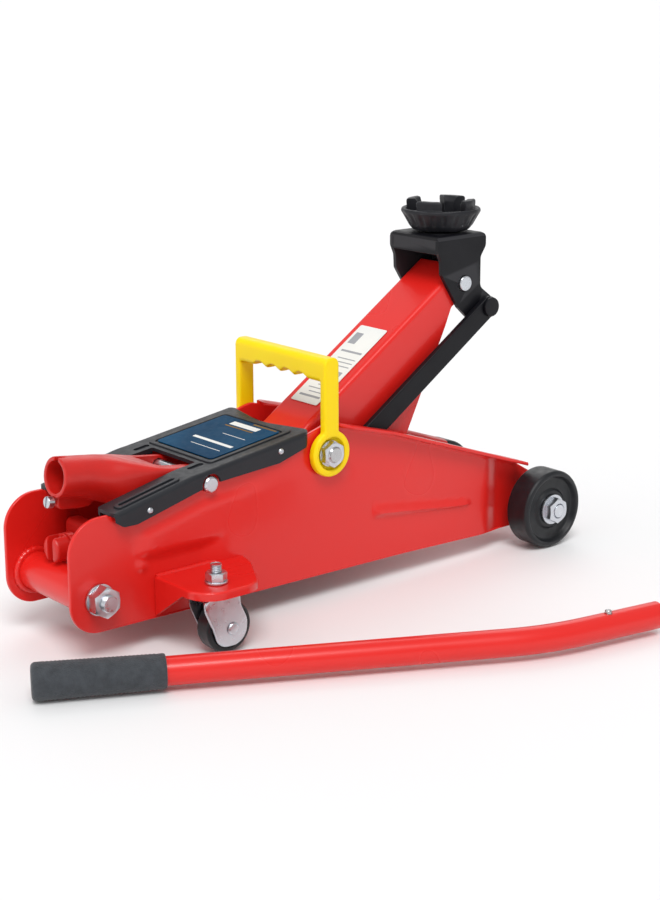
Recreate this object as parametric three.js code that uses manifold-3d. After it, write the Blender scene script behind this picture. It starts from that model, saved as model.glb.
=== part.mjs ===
// Two-tonne hydraulic trolley jack with its pump handle, in millimetres.
// Working frame of the jack: x forward from the lift arm's pivot, y to the left, z up from the floor.
// The last lines move everything so that the origin is the middle of the footprint.
import * as THREE from "three";
import { mergeVertices } from "three/addons/utils/BufferGeometryUtils.js";
import Module from "manifold-3d";

const wasm = await Module();
wasm.setup();

// ---- driving dimensions -------------------------------------------------------------------------

const GAP = 0.35; // clearance kept between pieces that touch
const SHEET = 3; // frame sheet thickness
const FINE = 22; // sides of a turned piece
const COARSE = 12; // sides of a small turned piece

const frame = {
  rear: -215,
  front: 229,
  earHalf: 42, // outer half width at the rear ears
  bodyHalf: 46, // outer half width of the pressed body
  noseHalf: 40, // outer half width beside the front wheels
  bottomRear: 19.5,
  bottomFront: 13,
  flangeHalf: 54.5,
};
const pivot = { x: 0, z: 110, radius: 8 }; // lift arm pivot
const arm = { angle: 33.7, length: 185, half: 23.5, top: 12, sheet: 4 };
const lug = { reach: 60, angle: -112, roller: 9 }; // ram roller, seen from the arm's own axis
const link = { dx: 22, dz: -20, half: 8, inner: 28, thick: 5, pin: 5 };
const saddleTop = { plate: 250.5, rim: 267, teeth: 275, rimRadius: 31, baseRadius: 25 };
const ram = { z: 53, radius: 12, headThick: 14, play: 1.6 };
const unit = { rear: -172, front: -112, nut: -59, half: 38.4, bottom: 18, top: 60 };
const pump = { x: -144, boss: 67, head: 88, radius: 5 };
const socket = { x: -104, z: 106, tilt: 7.6, mouth: 95, outer: 14, inner: 11 };
const cover = { half: 48.6, skirt: 46.4, sheet: 2.5, slotHalf: 26, slotFront: -101.2 };
const rearTie = { x: -193.5, z: 43, outer: 13.5, bolt: 6 };
const frontWheel = { x: 211.5, radius: 31, inner: 50.6, outer: 72.6, axle: 6 };
const caster = { x: -125, y: 80, trail: 5.5, radius: 18, half: 7, plate: 49, stud: 4 };
const carry = { inner: 46.5, outer: 52.5, eye: 17, half: 6.75, barBottom: 162, barTop: 180 };
const bar = { radius: 9.5, wall: 1.6, gripLength: 85, gripRadius: 12.5 };

// ---- materials ----------------------------------------------------------------------------------

const finish = (color, roughness, metalness) =>
  new THREE.MeshStandardMaterial({ color, roughness, metalness });
const redPaint = finish(0xd8160f, 0.3, 0.1);
const blackPaint = finish(0x1b1c1f, 0.4, 0.2);
const blackPlastic = finish(0x26272a, 0.5, 0);
const wheelPlastic = finish(0x17181a, 0.45, 0);
const yellowPlastic = finish(0xf7d60c, 0.4, 0);
const zinc = finish(0xc4c7cc, 0.3, 0.9);
const steel = finish(0x8d9094, 0.35, 0.9);
const castIron = finish(0x9c1410, 0.55, 0.2);
const gripFoam = finish(0x303236, 0.9, 0);
const blueLabel = finish(0x12466e, 0.4, 0);
const paleLabel = finish(0xe6e4e0, 0.5, 0);

// ---- solids: joining and cutting ----------------------------------------------------------------

function toSolid(geometry) {
  const bare = geometry.clone();
  bare.deleteAttribute("normal");
  bare.deleteAttribute("uv");
  const merged = mergeVertices(bare, 1e-4);
  const vertProperties = new Float32Array(merged.attributes.position.array);
  const triVerts = new Uint32Array(merged.index.array);
  return new wasm.Manifold(new wasm.Mesh({ numProp: 3, vertProperties, triVerts }));
}

function toGeometry(solid) {
  const mesh = solid.getMesh();
  const geometry = new THREE.BufferGeometry();
  geometry.setAttribute("position", new THREE.BufferAttribute(mesh.vertProperties, 3));
  geometry.setIndex(new THREE.BufferAttribute(mesh.triVerts, 1));
  return geometry;
}

const join = (...parts) => toGeometry(parts.map(toSolid).reduce((a, b) => a.add(b)));
const cut = (body, ...tools) =>
  toGeometry(tools.map(toSolid).reduce((a, b) => a.subtract(b), toSolid(body)));
const common = (a, b) => toGeometry(toSolid(a).intersect(toSolid(b)));

// ---- shapes -------------------------------------------------------------------------------------

const radians = THREE.MathUtils.degToRad;

// A closed outline from corners [across, up, fillet radius]; the fillet may be left out.
function outline(corners) {
  const shape = new THREE.Shape();
  corners.forEach(([x, y, radius = 0], i) => {
    if (radius === 0) {
      if (i === 0) shape.moveTo(x, y);
      else shape.lineTo(x, y);
      return;
    }
    const corner = new THREE.Vector2(x, y);
    const toward = (other) => new THREE.Vector2(other[0], other[1]).sub(corner).normalize();
    const back = toward(corners.at(i - 1));
    const ahead = toward(corners[(i + 1) % corners.length]);
    const half = Math.acos(THREE.MathUtils.clamp(back.dot(ahead), -1, 1)) / 2;
    const start = back.clone().multiplyScalar(radius / Math.tan(half));
    const end = ahead.clone().multiplyScalar(radius / Math.tan(half));
    const centre = back.clone().add(ahead).normalize().multiplyScalar(radius / Math.sin(half));
    const from = start.sub(centre).angle();
    const to = end.sub(centre).angle();
    centre.add(corner);
    if (i > 0 && shape.curves.length === 0) shape.lineTo(centre.x + start.x, centre.y + start.y);
    shape.absarc(centre.x, centre.y, radius, from, to, back.cross(ahead) > 0);
  });
  return shape;
}

const circle = (x, y, radius) => new THREE.Path().absarc(x, y, radius, 0, 2 * Math.PI, false);
const disc = (x, y, radius) => new THREE.Shape().absarc(x, y, radius, 0, 2 * Math.PI, false);

const extrude = (shape, depth, curveSegments) =>
  new THREE.ExtrudeGeometry(shape, { depth, curveSegments, bevelEnabled: false });

// A shape drawn in x and z, extruded from one y to another.
const alongY = (shape, from, to, curveSegments = 4) =>
  extrude(shape, to - from, curveSegments).rotateX(Math.PI / 2).translate(0, to, 0);

// A shape drawn in x and y, extruded from one z to another.
const alongZ = (shape, from, to, curveSegments = 4) =>
  extrude(shape, to - from, curveSegments).translate(0, 0, from);

// A shape drawn in y and z, extruded from one x to another.
const turnToX = new THREE.Matrix4().makeBasis(
  new THREE.Vector3(0, 1, 0),
  new THREE.Vector3(0, 0, 1),
  new THREE.Vector3(1, 0, 0),
);
const alongX = (shape, from, to, curveSegments = 4) =>
  extrude(shape, to - from, curveSegments).applyMatrix4(turnToX).translate(from, 0, 0);

const box = (x0, x1, y0, y1, z0, z1) =>
  new THREE.BoxGeometry(x1 - x0, y1 - y0, z1 - z0).translate(
    (x0 + x1) / 2,
    (y0 + y1) / 2,
    (z0 + z1) / 2,
  );

function pointAxis(geometry, axis) {
  if (axis === "x") geometry.rotateZ(-Math.PI / 2);
  if (axis === "z") geometry.rotateX(Math.PI / 2);
  return geometry;
}

const along = (axis, distance) => {
  const shift = new THREE.Vector3();
  shift[axis] = distance;
  return shift.toArray();
};

// A straight bar round an axis through the origin.
const rod = (axis, radius, from, to, sides = FINE) =>
  pointAxis(new THREE.CylinderGeometry(radius, radius, to - from, sides), axis).translate(
    ...along(axis, (from + to) / 2),
  );

// A turned piece: [radius, height] points that start and end on the axis, or a ring that closes.
function turned(axis, profile, sides = FINE) {
  const points = profile.map(([radius, height]) => new THREE.Vector2(radius, height));
  const onAxis = points[0].x === 0 && points.at(-1).x === 0;
  if (!onAxis) points.push(points[0].clone());
  if (THREE.ShapeUtils.area(points) < 0) points.reverse();
  return pointAxis(new THREE.LatheGeometry(points, sides), axis);
}

const tube = (axis, outer, inner, from, to, sides = FINE) =>
  turned(axis, [[inner, from], [outer, from], [outer, to], [inner, to]], sides);

const hexagon = (axis, flats, from, to) => rod(axis, flats / Math.sqrt(3), from, to, 6);

// A washer-faced hexagon nut on an axis, from its seat outwards.
function washerNut(axis, seat, washer, flats, tall, bore) {
  const direction = Math.sign(seat);
  const faces = [0, washer.thick, washer.thick + tall].map((d) => seat + direction * d);
  const span = (a, b) => [Math.min(a, b), Math.max(a, b)];
  const plate = rod(axis, washer.radius, ...span(faces[0], faces[1]));
  const nut = hexagon(axis, flats, ...span(faces[1], faces[2]));
  return cut(join(plate, nut), rod(axis, bore, ...span(seat - direction, faces[2] + direction)));
}

// ---- the assembly -------------------------------------------------------------------------------

const jack = new THREE.Group();

function piece(name, geometry, material, parent = jack) {
  const mesh = new THREE.Mesh(geometry, material);
  mesh.name = name;
  parent.add(mesh);
  return mesh;
}

// The same piece on both sides: drawn on the right side (y below 0) and mirrored to the left.
function pair(name, geometry, material, parent = jack) {
  piece(`${name}_right`, geometry, material, parent);
  piece(`${name}_left`, geometry, material, parent).scale.y = -1;
}

function group(x, y, z, parent = jack) {
  const holder = new THREE.Group();
  holder.position.set(x, y, z);
  parent.add(holder);
  return holder;
}

// ---- frame --------------------------------------------------------------------------------------

// Height of the cover's top surface over the rear half of the frame.
const coverLine = [
  [-182.5, 100.3],
  [-121, 114],
  [-17, 129],
];

function sidePlate() {
  const half = [
    [frame.rear, frame.earHalf],
    [-162, frame.earHalf],
    [-152, frame.bodyHalf],
    [166, frame.bodyHalf],
    [178, frame.noseHalf],
    [frame.front, frame.noseHalf],
  ];
  const outside = half.map(([x, y]) => [x, -y]);
  const inside = half.map(([x, y]) => [x, SHEET - y]).reverse();
  const strip = alongZ(outline([...outside, ...inside]), 0, 140);
  const underCover = cover.sheet + GAP;
  const profile = outline([
    [frame.rear, frame.bottomRear, 22],
    [53, 17.4],
    [190, frame.bottomFront],
    [frame.front, frame.bottomFront, 15],
    [frame.front, 48, 10],
    [199, 66],
    [59, 115.8],
    [0, 131.4, 14],
    [-17, 129 - underCover],
    [-121, 114 - underCover],
    [-183, 100.2 - underCover],
    [-184, 98.8],
    [frame.rear, 98.8, 22],
  ]);
  const flangePlan = outline([
    [14, -frame.flangeHalf, 5],
    [201, -frame.flangeHalf],
    [197, SHEET - frame.noseHalf],
    [180, SHEET - frame.noseHalf],
    [168, SHEET - frame.bodyHalf],
    [14, SHEET - frame.bodyHalf],
  ]);
  const flangeSide = outline([
    [10, 129.6],
    [59, 116.8],
    [202, 66.8],
    [201.5, 64],
    [58.2, 114],
    [10, 126.8],
  ]);
  const flange = common(alongZ(flangePlan, 0, 140), alongY(flangeSide, -60, -30));
  const body = common(strip, alongY(profile, -60, -30));
  const hole = (x, z, radius) => rod("y", radius, -60, -30, COARSE).translate(x, 0, z);
  return cut(
    join(body, flange),
    hole(pivot.x, pivot.z, pivot.radius + GAP),
    hole(rearTie.x, rearTie.z, rearTie.bolt + GAP),
    hole(frontWheel.x, frontWheel.radius, frontWheel.axle + GAP),
    hole(socket.x, socket.z, 5 + GAP),
  );
}
pair("side_plate", sidePlate(), redPaint);

function rearTieParts() {
  const at = group(rearTie.x, 0, rearTie.z);
  const inside = frame.earHalf - SHEET - GAP;
  const outside = frame.earHalf + GAP;
  const boltHole = rearTie.bolt + GAP;
  piece("rear_cross_tube", tube("y", rearTie.outer, boltHole, -inside, inside), redPaint, at);
  const shank = rod("y", rearTie.bolt, -57, outside + 1, COARSE);
  const head = hexagon("y", 19, outside, outside + 7.5);
  piece("rear_tie_bolt", join(shank, head), zinc, at);
  const washer = { radius: 10.9, thick: 2 };
  piece("rear_tie_nut", washerNut("y", -outside, washer, 19, 9, boltHole), zinc, at);
}
rearTieParts();

function liftPivotParts() {
  const at = group(pivot.x, 0, pivot.z);
  const seat = carry.outer - 4 + GAP;
  const threaded = rod("y", 6, -57, 57, COARSE);
  const body = rod("y", pivot.radius, 0.5 - carry.outer + 4, carry.outer - 4 - 0.5);
  piece("lift_pivot_shaft", join(threaded, body), steel, at);
  const washer = { radius: 10.5, thick: 1.6 };
  pair("lift_pivot_nut", washerNut("y", -seat, washer, 17, 5, 6 + GAP), zinc, at);
}
liftPivotParts();

// Link studs welded inside the plates; each carries the lower end of a link.
function linkStud() {
  const shank = rod("y", link.pin, -(frame.bodyHalf - SHEET - GAP), -26, COARSE);
  const head = rod("y", 8, -(link.inner - GAP), -24.4, COARSE);
  return join(shank, head);
}
pair("link_stud", linkStud(), blackPaint, group(link.dx, 0, pivot.z + link.dz));

// ---- hydraulic unit -----------------------------------------------------------------------------

function powerUnitBlock() {
  const side = outline([
    [unit.rear, unit.bottom, 6],
    [unit.front, unit.bottom + 4, 3],
    [unit.front, unit.top + 16, 4],
    [pump.x + 13, unit.top + 16, 4],
    [pump.x + 13, pump.boss],
    [pump.x - 14, pump.boss, 3],
    [pump.x - 16, unit.top + 18, 3],
    [unit.rear, unit.top + 18, 4],
  ]);
  const block = alongY(side, -32, 32);
  const springLug = box(unit.front - 8, unit.front, -38, 38, ram.z - 4, ram.z + 4);
  const foot = box(unit.rear + 6, -152, -unit.half, unit.half, unit.bottom + 6, unit.top);
  const ramBore = rod("x", ram.radius + GAP, -135, unit.front + 5).translate(0, 0, ram.z);
  const pumpBore = rod("z", pump.radius + GAP, 34, 100, COARSE).translate(pump.x, 0, 0);
  const valveBore = rod("x", 4 + GAP, unit.rear - 5, -158, COARSE).translate(0, 5, 67);
  return cut(join(block, foot, springLug), ramBore, pumpBore, valveBore);
}
piece("power_unit_block", powerUnitBlock(), castIron);

const unitAxis = group(0, 0, ram.z);
const tankEnd = unit.nut - 9;
const tankStart = unit.front + GAP;
const cylinder = tube("x", 19, ram.radius + GAP, tankStart, tankEnd - GAP);
piece("hydraulic_cylinder", cylinder, steel, unitAxis);
piece("reservoir_tube", tube("x", 30, 27, tankStart, tankEnd - GAP), redPaint, unitAxis);
const glandCut = rod("x", ram.radius + GAP, tankEnd - 5, unit.nut + 5);
piece("tank_nut", cut(hexagon("x", 54, tankEnd, unit.nut), glandCut), steel, unitAxis);

// The ram pushes a roller between the arm's cheeks; its head carries the two return springs.
const rollerX = lug.reach * Math.cos(radians(arm.angle + lug.angle));
const headFace = rollerX - lug.roller - ram.play;
const springHalf = 35;
const springPinX = headFace - 11;

function ramHead() {
  const plate = box(headFace - ram.headThick, headFace, -17, 17, -14, 19);
  const crossPin = rod("y", 3, -springHalf - 3, springHalf + 3, COARSE);
  crossPin.translate(springPinX, 0, 0);
  return join(plate, crossPin);
}
const ramEnd = headFace - ram.headThick - GAP;
piece("ram_rod", rod("x", ram.radius, -90, ramEnd), steel, unitAxis);
piece("ram_head", ramHead(), steel, unitAxis);
const springStart = unit.front + GAP;
const springEnd = springPinX - 3 - GAP;
const spring = tube("x", 4, 2.6, springStart, springEnd, COARSE).translate(0, -springHalf, 0);
pair("return_spring", spring, zinc, unitAxis);

function pumpParts() {
  const at = group(pump.x, 0, 0);
  const stem = rod("z", pump.radius, 40, pump.head - 4, COARSE);
  const head = rod("z", 8, pump.head - 5, pump.head, COARSE);
  piece("pump_plunger", join(stem, head), steel, at);
  const springBody = tube("z", 7.5, 6, pump.boss + GAP, pump.head - 5 - GAP, COARSE);
  piece("pump_spring", springBody, zinc, at);
}
pumpParts();

// Release valve: a screw in the back of the block with a forked head that the handle's end turns.
function releaseValve() {
  const stem = rod("x", 4, -190, -160, COARSE);
  const collar = rod("x", 9.5, -189, -183, COARSE);
  const fork = cut(rod("x", 9.5, -201, -188, COARSE), box(-202, -191, -3.2, 3.2, -12, 12));
  return join(stem, collar, fork);
}
piece("release_valve", releaseValve(), redPaint, group(0, 5, 67));

// ---- handle socket ------------------------------------------------------------------------------

function handleSocket() {
  // Drawn from the pivot with the tube lying along -x.
  const mouth = -socket.mouth;
  const pipe = rod("x", socket.outer, mouth, -55);
  const neckSide = outline([
    [-66, 14],
    [-36, 12, 8],
    [-14, 7, 6],
    [7.5, 7.5, 7],
    [7.5, -7.5, 7],
    [-24, -12, 6],
    [-38, -21, 7],
    [-52, -19, 6],
    [-78, -22, 4],
    [mouth + 1, -22, 5],
    [mouth + 3, -11],
    [-66, -11],
  ]);
  const neckPlan = outline([
    [mouth, -3],
    [-76, -3],
    [-64, -13.5, 6],
    [-22, -24, 8],
    [10, -24],
    [10, 24],
    [-22, 24, 8],
    [-64, 13.5, 6],
    [-76, 3],
    [mouth, 3],
  ]);
  const neck = common(alongY(neckSide, -30, 30), alongZ(neckPlan, -40, 40));
  const bore = rod("x", socket.inner, mouth - 5, -50);
  const yokeGap = box(-24, 15, -15, 15, -30, 30);
  const notch = box(mouth - 2, mouth + 8, -3, 3, 8, 20);
  const pinHole = rod("y", 5 + GAP, -40, 40, COARSE);
  return cut(join(pipe, neck), bore, yokeGap, notch, pinHole);
}
const socketAxis = group(socket.x, 0, socket.z);
socketAxis.rotation.y = radians(socket.tilt);
piece("handle_socket", handleSocket(), redPaint, socketAxis);
const lockScrew = join(
  rod("x", 4, -socket.mouth - 5, -socket.mouth - GAP, COARSE),
  rod("x", 2, -socket.mouth - 2, -socket.mouth - 0.3, COARSE),
);
piece("socket_lock_screw", lockScrew.translate(0, 0, -17), zinc, socketAxis);
const socketPin = join(rod("y", 5, -47, 49, COARSE), rod("y", 5.8, -49, -46.4, COARSE));
piece("socket_pivot_pin", socketPin, zinc, group(socket.x, 0, socket.z));

// ---- plastic cover ------------------------------------------------------------------------------

function topCover() {
  const underLine = coverLine.map(([x, z]) => [x, z - cover.sheet]).reverse();
  const coverRear = coverLine[0][0];
  const front = -12;
  const slope = (129 - 114) / (121 - 17);
  const frontZ = 129 + (front + 17) * slope;
  const shell = outline([
    ...coverLine.slice(0, 2),
    [front, frontZ],
    [front, frontZ - cover.sheet],
    ...underLine.slice(1),
  ]);
  const plan = outline([
    [coverRear, -cover.half, 5],
    [-16, -cover.half, 9],
    [-19, -34, 8],
    [-24.5, 0],
    [-19, 34, 8],
    [-16, cover.half, 9],
    [coverRear, cover.half, 5],
    [coverRear, cover.slotHalf],
    [cover.slotFront, cover.slotHalf, 1.5],
    [cover.slotFront, -cover.slotHalf, 1.5],
    [coverRear, -cover.slotHalf],
  ]);
  const skirt = outline([
    [coverRear, 95, 2],
    [-176, 90.5, 6],
    [-165, 90.5, 4],
    [-113, 103.8],
    [-111.5, 112.2, 4],
    [-96.5, 113.4, 4],
    [-95, 107],
    [-45, 110.5],
    [-20, 118, 3],
    [-18.5, 128],
    [-121, 113],
    [coverRear, 99.3],
  ]);
  const panel = common(alongY(shell, -60, 60), alongZ(plan, 80, 140));
  const side = alongY(skirt, -cover.half, -cover.skirt);
  const otherSide = alongY(skirt, cover.skirt, cover.half);
  return join(panel, side, otherSide);
}
piece("top_cover", topCover(), blackPlastic);

// A thin plate bearing the printed panel, lying on the cover's slope.
const labelHolder = group(-62, 0, 122.5 + GAP);
labelHolder.rotation.y = -Math.atan2(129 - 114, 121 - 17);
piece("cover_label", box(-31, 31, -33, 33, 0, 0.8), blueLabel, labelHolder);

// ---- lift arm -----------------------------------------------------------------------------------

const armAxis = group(pivot.x, 0, pivot.z);
armAxis.rotation.y = -radians(arm.angle);

// The roller's centre in the arm's own frame.
const lugX = lug.reach * Math.cos(radians(lug.angle));
const lugZ = lug.reach * Math.sin(radians(lug.angle));

function liftArm() {
  const side = outline([
    [-13, arm.top, 12],
    [arm.length + 11, arm.top, 9],
    [arm.length + 11, -12, 10],
    [arm.length - 18, -9],
    [153, -18, 8],
    [79, -60, 12],
    [20, -74, 16],
    [lugX + 3, -72, 10],
    [lugX - 12, lugZ - 2, 8],
    [lugX - 9, lugZ + 18, 12],
    [-16, -20, 20],
  ]);
  const solid = alongY(side, -arm.half, arm.half);
  const inner = arm.half - arm.sheet;
  const hollow = box(-60, 250, -inner, inner, -100, arm.top - arm.sheet);
  const pivotHole = rod("y", pivot.radius + GAP, -40, 40);
  const tipHole = rod("y", 6 + GAP, -40, 40, COARSE).translate(arm.length, 0, 0);
  const lugHole = rod("y", 4 + GAP, -40, 40, COARSE).translate(lugX, 0, lugZ);
  return cut(solid, hollow, pivotHole, tipHole, lugHole);
}
piece("lift_arm", liftArm(), redPaint, armAxis);
piece("arm_label", box(28, 112, -15, 15, arm.top + GAP, arm.top + 0.9), paleLabel, armAxis);
const lugAxis = group(lugX, 0, lugZ, armAxis);
const rollerHalf = arm.half - arm.sheet - 0.5;
piece("arm_roller", tube("y", lug.roller, 4 + GAP, -rollerHalf, rollerHalf), steel, lugAxis);
const rollerPin = join(rod("y", 4, -26, 26, COARSE), rod("y", 6, -26, -23.9, COARSE));
piece("arm_roller_pin", rollerPin, steel, lugAxis);

// ---- saddle bracket, links, saddle --------------------------------------------------------------

const tip = new THREE.Vector2(
  pivot.x + arm.length * Math.cos(radians(arm.angle)),
  pivot.z + arm.length * Math.sin(radians(arm.angle)),
);
const bracketAxis = group(tip.x, 0, tip.y);
const bracket = { half: 27.2, inner: 24.1, top: saddleTop.plate - tip.y };

function saddleBracket() {
  const cheek = outline([
    [-28, bracket.top, 3],
    [-25, 22, 3],
    [-24, 8.5, 4],
    [-6.5, -18, 4],
    [8, -31, 6],
    [31, -31, 9],
    [30, -14, 6],
    [17, -4.5, 5],
    [17, 21, 3],
    [21.5, 28, 2],
    [21, bracket.top, 3],
  ]);
  const solid = alongY(cheek, -bracket.half, bracket.half);
  // A web closes the front between the cheeks, above the link pins.
  const behindWeb = box(-60, 14, -bracket.inner, bracket.inner, -60, bracket.top - 3.5);
  const belowWeb = box(-60, 60, -bracket.inner, bracket.inner, -60, -7);
  const tipHole = rod("y", 6 + GAP, -40, 40, COARSE);
  const linkHole = rod("y", 4 + GAP, -40, 40, COARSE).translate(link.dx, 0, link.dz);
  const saddleHole = rod("z", 8 + GAP, 20, 60, COARSE);
  return cut(solid, behindWeb, belowWeb, tipHole, linkHole, saddleHole);
}
piece("saddle_bracket", saddleBracket(), blackPaint, bracketAxis);
piece("saddle_pin", rod("y", 6, -29.5, 29.5, COARSE), zinc, bracketAxis);

function linkPin() {
  const shank = rod("y", 4, -35, -22.4, COARSE);
  const outerHead = rod("y", 7.5, -36, -(link.inner + link.thick + 2 * GAP), COARSE);
  const innerHead = rod("y", 7, -(bracket.inner - GAP), -21.5, COARSE);
  return join(shank, outerHead, innerHead);
}
pair("link_pin", linkPin(), blackPaint, group(link.dx, 0, link.dz, bracketAxis));

function linkBar() {
  const rounded = [
    [-link.half, -link.half, link.half - 0.01],
    [arm.length + link.half, -link.half, link.half - 0.01],
    [arm.length + link.half, link.half, link.half - 0.01],
    [-link.half, link.half, link.half - 0.01],
  ];
  const flat = alongY(outline(rounded), -(link.inner + link.thick + GAP), -(link.inner + GAP));
  const lower = rod("y", link.pin + GAP, -50, -20, COARSE);
  const upper = rod("y", 4 + 0.5, -50, -20, COARSE).translate(arm.length, 0, 0);
  return cut(flat, lower, upper);
}
const linkAxis = group(link.dx, 0, pivot.z + link.dz);
linkAxis.rotation.y = -radians(arm.angle);
pair("link", linkBar(), blackPaint, linkAxis);

function saddle() {
  const base = saddleTop.plate + 1.5;
  const { baseRadius, rimRadius, rim, teeth } = saddleTop;
  const cup = turned("z", [
    [0, saddleTop.plate - 9],
    [8, saddleTop.plate - 9],
    [8, saddleTop.plate + GAP],
    [14, saddleTop.plate + GAP],
    [baseRadius - 4, base],
    [baseRadius, base + 3],
    [rimRadius, rim],
    [rimRadius - 4, rim + 1],
    [baseRadius - 3, rim - 6],
    [0, rim - 6],
  ]);
  const wall = turned("z", [
    [rimRadius - 9, rim - 7],
    [rimRadius - 0.5, rim - 1],
    [rimRadius - 1, teeth],
    [rimRadius - 7, teeth],
    [rimRadius - 9, teeth - 3],
  ]);
  const notch = 13; // width of the gaps between the teeth
  const gaps = box(-50, 50, -notch / 2, notch / 2, rim, teeth + 5);
  const turnedGaps = gaps.clone().rotateZ(Math.PI / 2);
  const teethRing = cut(wall, gaps, turnedGaps);
  return join(cup, teethRing);
}
piece("saddle", saddle(), blackPaint, group(tip.x, 0, 0));

// ---- yellow carry handle ------------------------------------------------------------------------

function carryHandle() {
  const top = carry.barTop - pivot.z;
  const under = carry.barBottom - pivot.z;
  const leg = outline([
    [-carry.half, 0],
    [carry.half, 0],
    [carry.half, top, 5],
    [-carry.half, top, 5],
  ]);
  const strap = join(
    alongY(leg, -carry.outer, -carry.inner),
    alongY(disc(0, 0, carry.eye), -carry.outer, -carry.inner, 10),
  );
  const recess = rod("y", 12, -carry.outer - 1, -carry.outer + 4);
  const eyeHole = rod("y", pivot.radius + GAP, -carry.outer - 1, -carry.inner + 1);
  const side = cut(strap, recess, eyeHole);
  const other = cut(
    strap.clone().rotateZ(Math.PI),
    recess.clone().rotateZ(Math.PI),
    eyeHole.clone().rotateZ(Math.PI),
  );
  const grip = outline([
    [-carry.half, under, 4],
    [carry.half, under, 4],
    [carry.half, top, 5],
    [-carry.half, top, 5],
  ]);
  const fingers = [-1.5, -0.5, 0.5, 1.5].map((i) =>
    rod("x", 9, -20, 20, COARSE).translate(0, i * 16, under - 4.5),
  );
  return cut(join(side, other, alongY(grip, -carry.outer + 1, carry.outer - 1)), ...fingers);
}
piece("carry_handle", carryHandle(), yellowPlastic, group(pivot.x, 0, pivot.z));

// ---- front axle and wheels ----------------------------------------------------------------------

function frontAxleParts() {
  const at = group(frontWheel.x, 0, frontWheel.radius);
  piece("front_axle", rod("y", frontWheel.axle, -79, 79, COARSE), zinc, at);
  const bore = frontWheel.axle + GAP;
  const inside = frame.noseHalf - SHEET - GAP;
  piece("front_cross_tube", tube("y", 10, bore, -inside, inside), redPaint, at);
  const spacer = tube("y", 9, bore, -(frontWheel.inner - 2 * GAP), -(frame.noseHalf + GAP), COARSE);
  pair("axle_spacer", spacer, zinc, at);
  const washer = { radius: 12, thick: 1.8 };
  pair("axle_nut", washerNut("y", -70.6, washer, 18, 6, bore), zinc, at);
  const { radius, inner, outer } = frontWheel;
  const wheel = turned("y", [
    [bore + 0.1, -inner],
    [radius - 2, -inner],
    [radius, -inner - 2],
    [radius, -outer + 2],
    [radius - 2, -outer],
    [radius - 4.5, -outer],
    [radius - 6.5, -outer + 4],
    [15, -outer + 4],
    [13, -outer + 2.4],
    [bore + 0.1, -outer + 2.4],
  ]);
  pair("front_wheel", wheel, wheelPlastic, at);
}
frontAxleParts();

// ---- swivel casters -----------------------------------------------------------------------------

function casterBracket() {
  const root = -(frame.bodyHalf + GAP);
  const nose = -(caster.y + 18.5);
  const under = caster.plate - SHEET;
  const planOf = (inset) => [
    [-149 + inset, root],
    [-149 + inset, nose + inset, 20 - inset],
    [-103 - inset, nose + inset, 18 - inset],
    [-80 - inset, -60, 20],
    [-75 - inset, root],
  ];
  const full = alongZ(outline(planOf(0)), 18, caster.plate);
  const hollow = outline([
    ...planOf(SHEET).slice(1, 4),
    [-75 - SHEET, root + 10],
    [-149 + SHEET, root + 10],
  ]);
  const core = alongZ(hollow, 0, under);
  const lowerEdge = outline([
    [root + 10, 21],
    [root, 21],
    [-74, 43.2],
    [nose - 5, 43.2],
    [nose - 5, 0],
    [root + 10, 0],
  ]);
  const studHole = rod("z", caster.stud + GAP, 0, 80, COARSE).translate(caster.x, -caster.y, 0);
  return cut(full, core, alongX(lowerEdge, -200, -50), studHole);
}
pair("caster_bracket", casterBracket(), redPaint);

// Fork, its pivot stud, wheel and axle, drawn round the stud's own axis.
const forkTop = 42.6;
const forkSheet = 2.4;
const forkHalf = caster.half + 1 + forkSheet;

function casterFork() {
  const cheek = outline([
    [-13, forkTop, 4],
    [-13, forkTop - 10],
    [caster.trail - 13, caster.radius - 12, 10],
    [caster.trail + 13, caster.radius - 13, 12],
    [12, forkTop - 10],
    [12, forkTop, 4],
  ]);
  const solid = alongY(cheek, -forkHalf, forkHalf);
  const slot = box(-40, 40, -forkHalf + forkSheet, forkHalf - forkSheet, -5, forkTop - forkSheet);
  const washer = rod("z", 9, forkTop - 1, caster.plate - SHEET - GAP, COARSE);
  const stud = rod("z", caster.stud, forkTop - 1, 62, COARSE);
  const axleHole = rod("y", 3 + GAP, -20, 20, COARSE);
  axleHole.translate(caster.trail, 0, caster.radius);
  return cut(join(cut(solid, slot), washer, stud), axleHole);
}

function casterParts(side, y) {
  const at = group(caster.x, y, 0);
  piece(`caster_fork_${side}`, casterFork(), zinc, at);
  const nut = cut(
    join(rod("z", 8, caster.plate + GAP, caster.plate + 2), hexagon("z", 13, caster.plate + 1, 57)),
    rod("z", caster.stud + GAP, 40, 70, COARSE),
  );
  piece(`caster_nut_${side}`, nut, zinc, at);
  const axle = group(caster.trail, 0, caster.radius, at);
  const rivet = join(
    rod("y", 3, -forkHalf - 1, forkHalf + 1, COARSE),
    rod("y", 5, -forkHalf - 1.8, -forkHalf - GAP, COARSE),
    rod("y", 5, forkHalf + GAP, forkHalf + 1.8, COARSE),
  );
  piece(`caster_axle_${side}`, rivet, zinc, axle);
  const { radius, half } = caster;
  const wheel = turned("y", [
    [3 + GAP, -half],
    [radius - 1.5, -half],
    [radius, -half + 1.5],
    [radius, half - 1.5],
    [radius - 1.5, half],
    [3 + GAP, half],
  ]);
  piece(`caster_wheel_${side}`, wheel, wheelPlastic, axle);
}
casterParts("right", -caster.y);
casterParts("left", caster.y);

// ---- pump handle, lying on the floor beside the jack --------------------------------------------

const gripEnd = new THREE.Vector2(-264, -71);
const straight = radians(-28.2);
const bent = radians(-10.2);
const bendAt = 341; // from the grip's end to the bend
const bentLength = 93;

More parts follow.
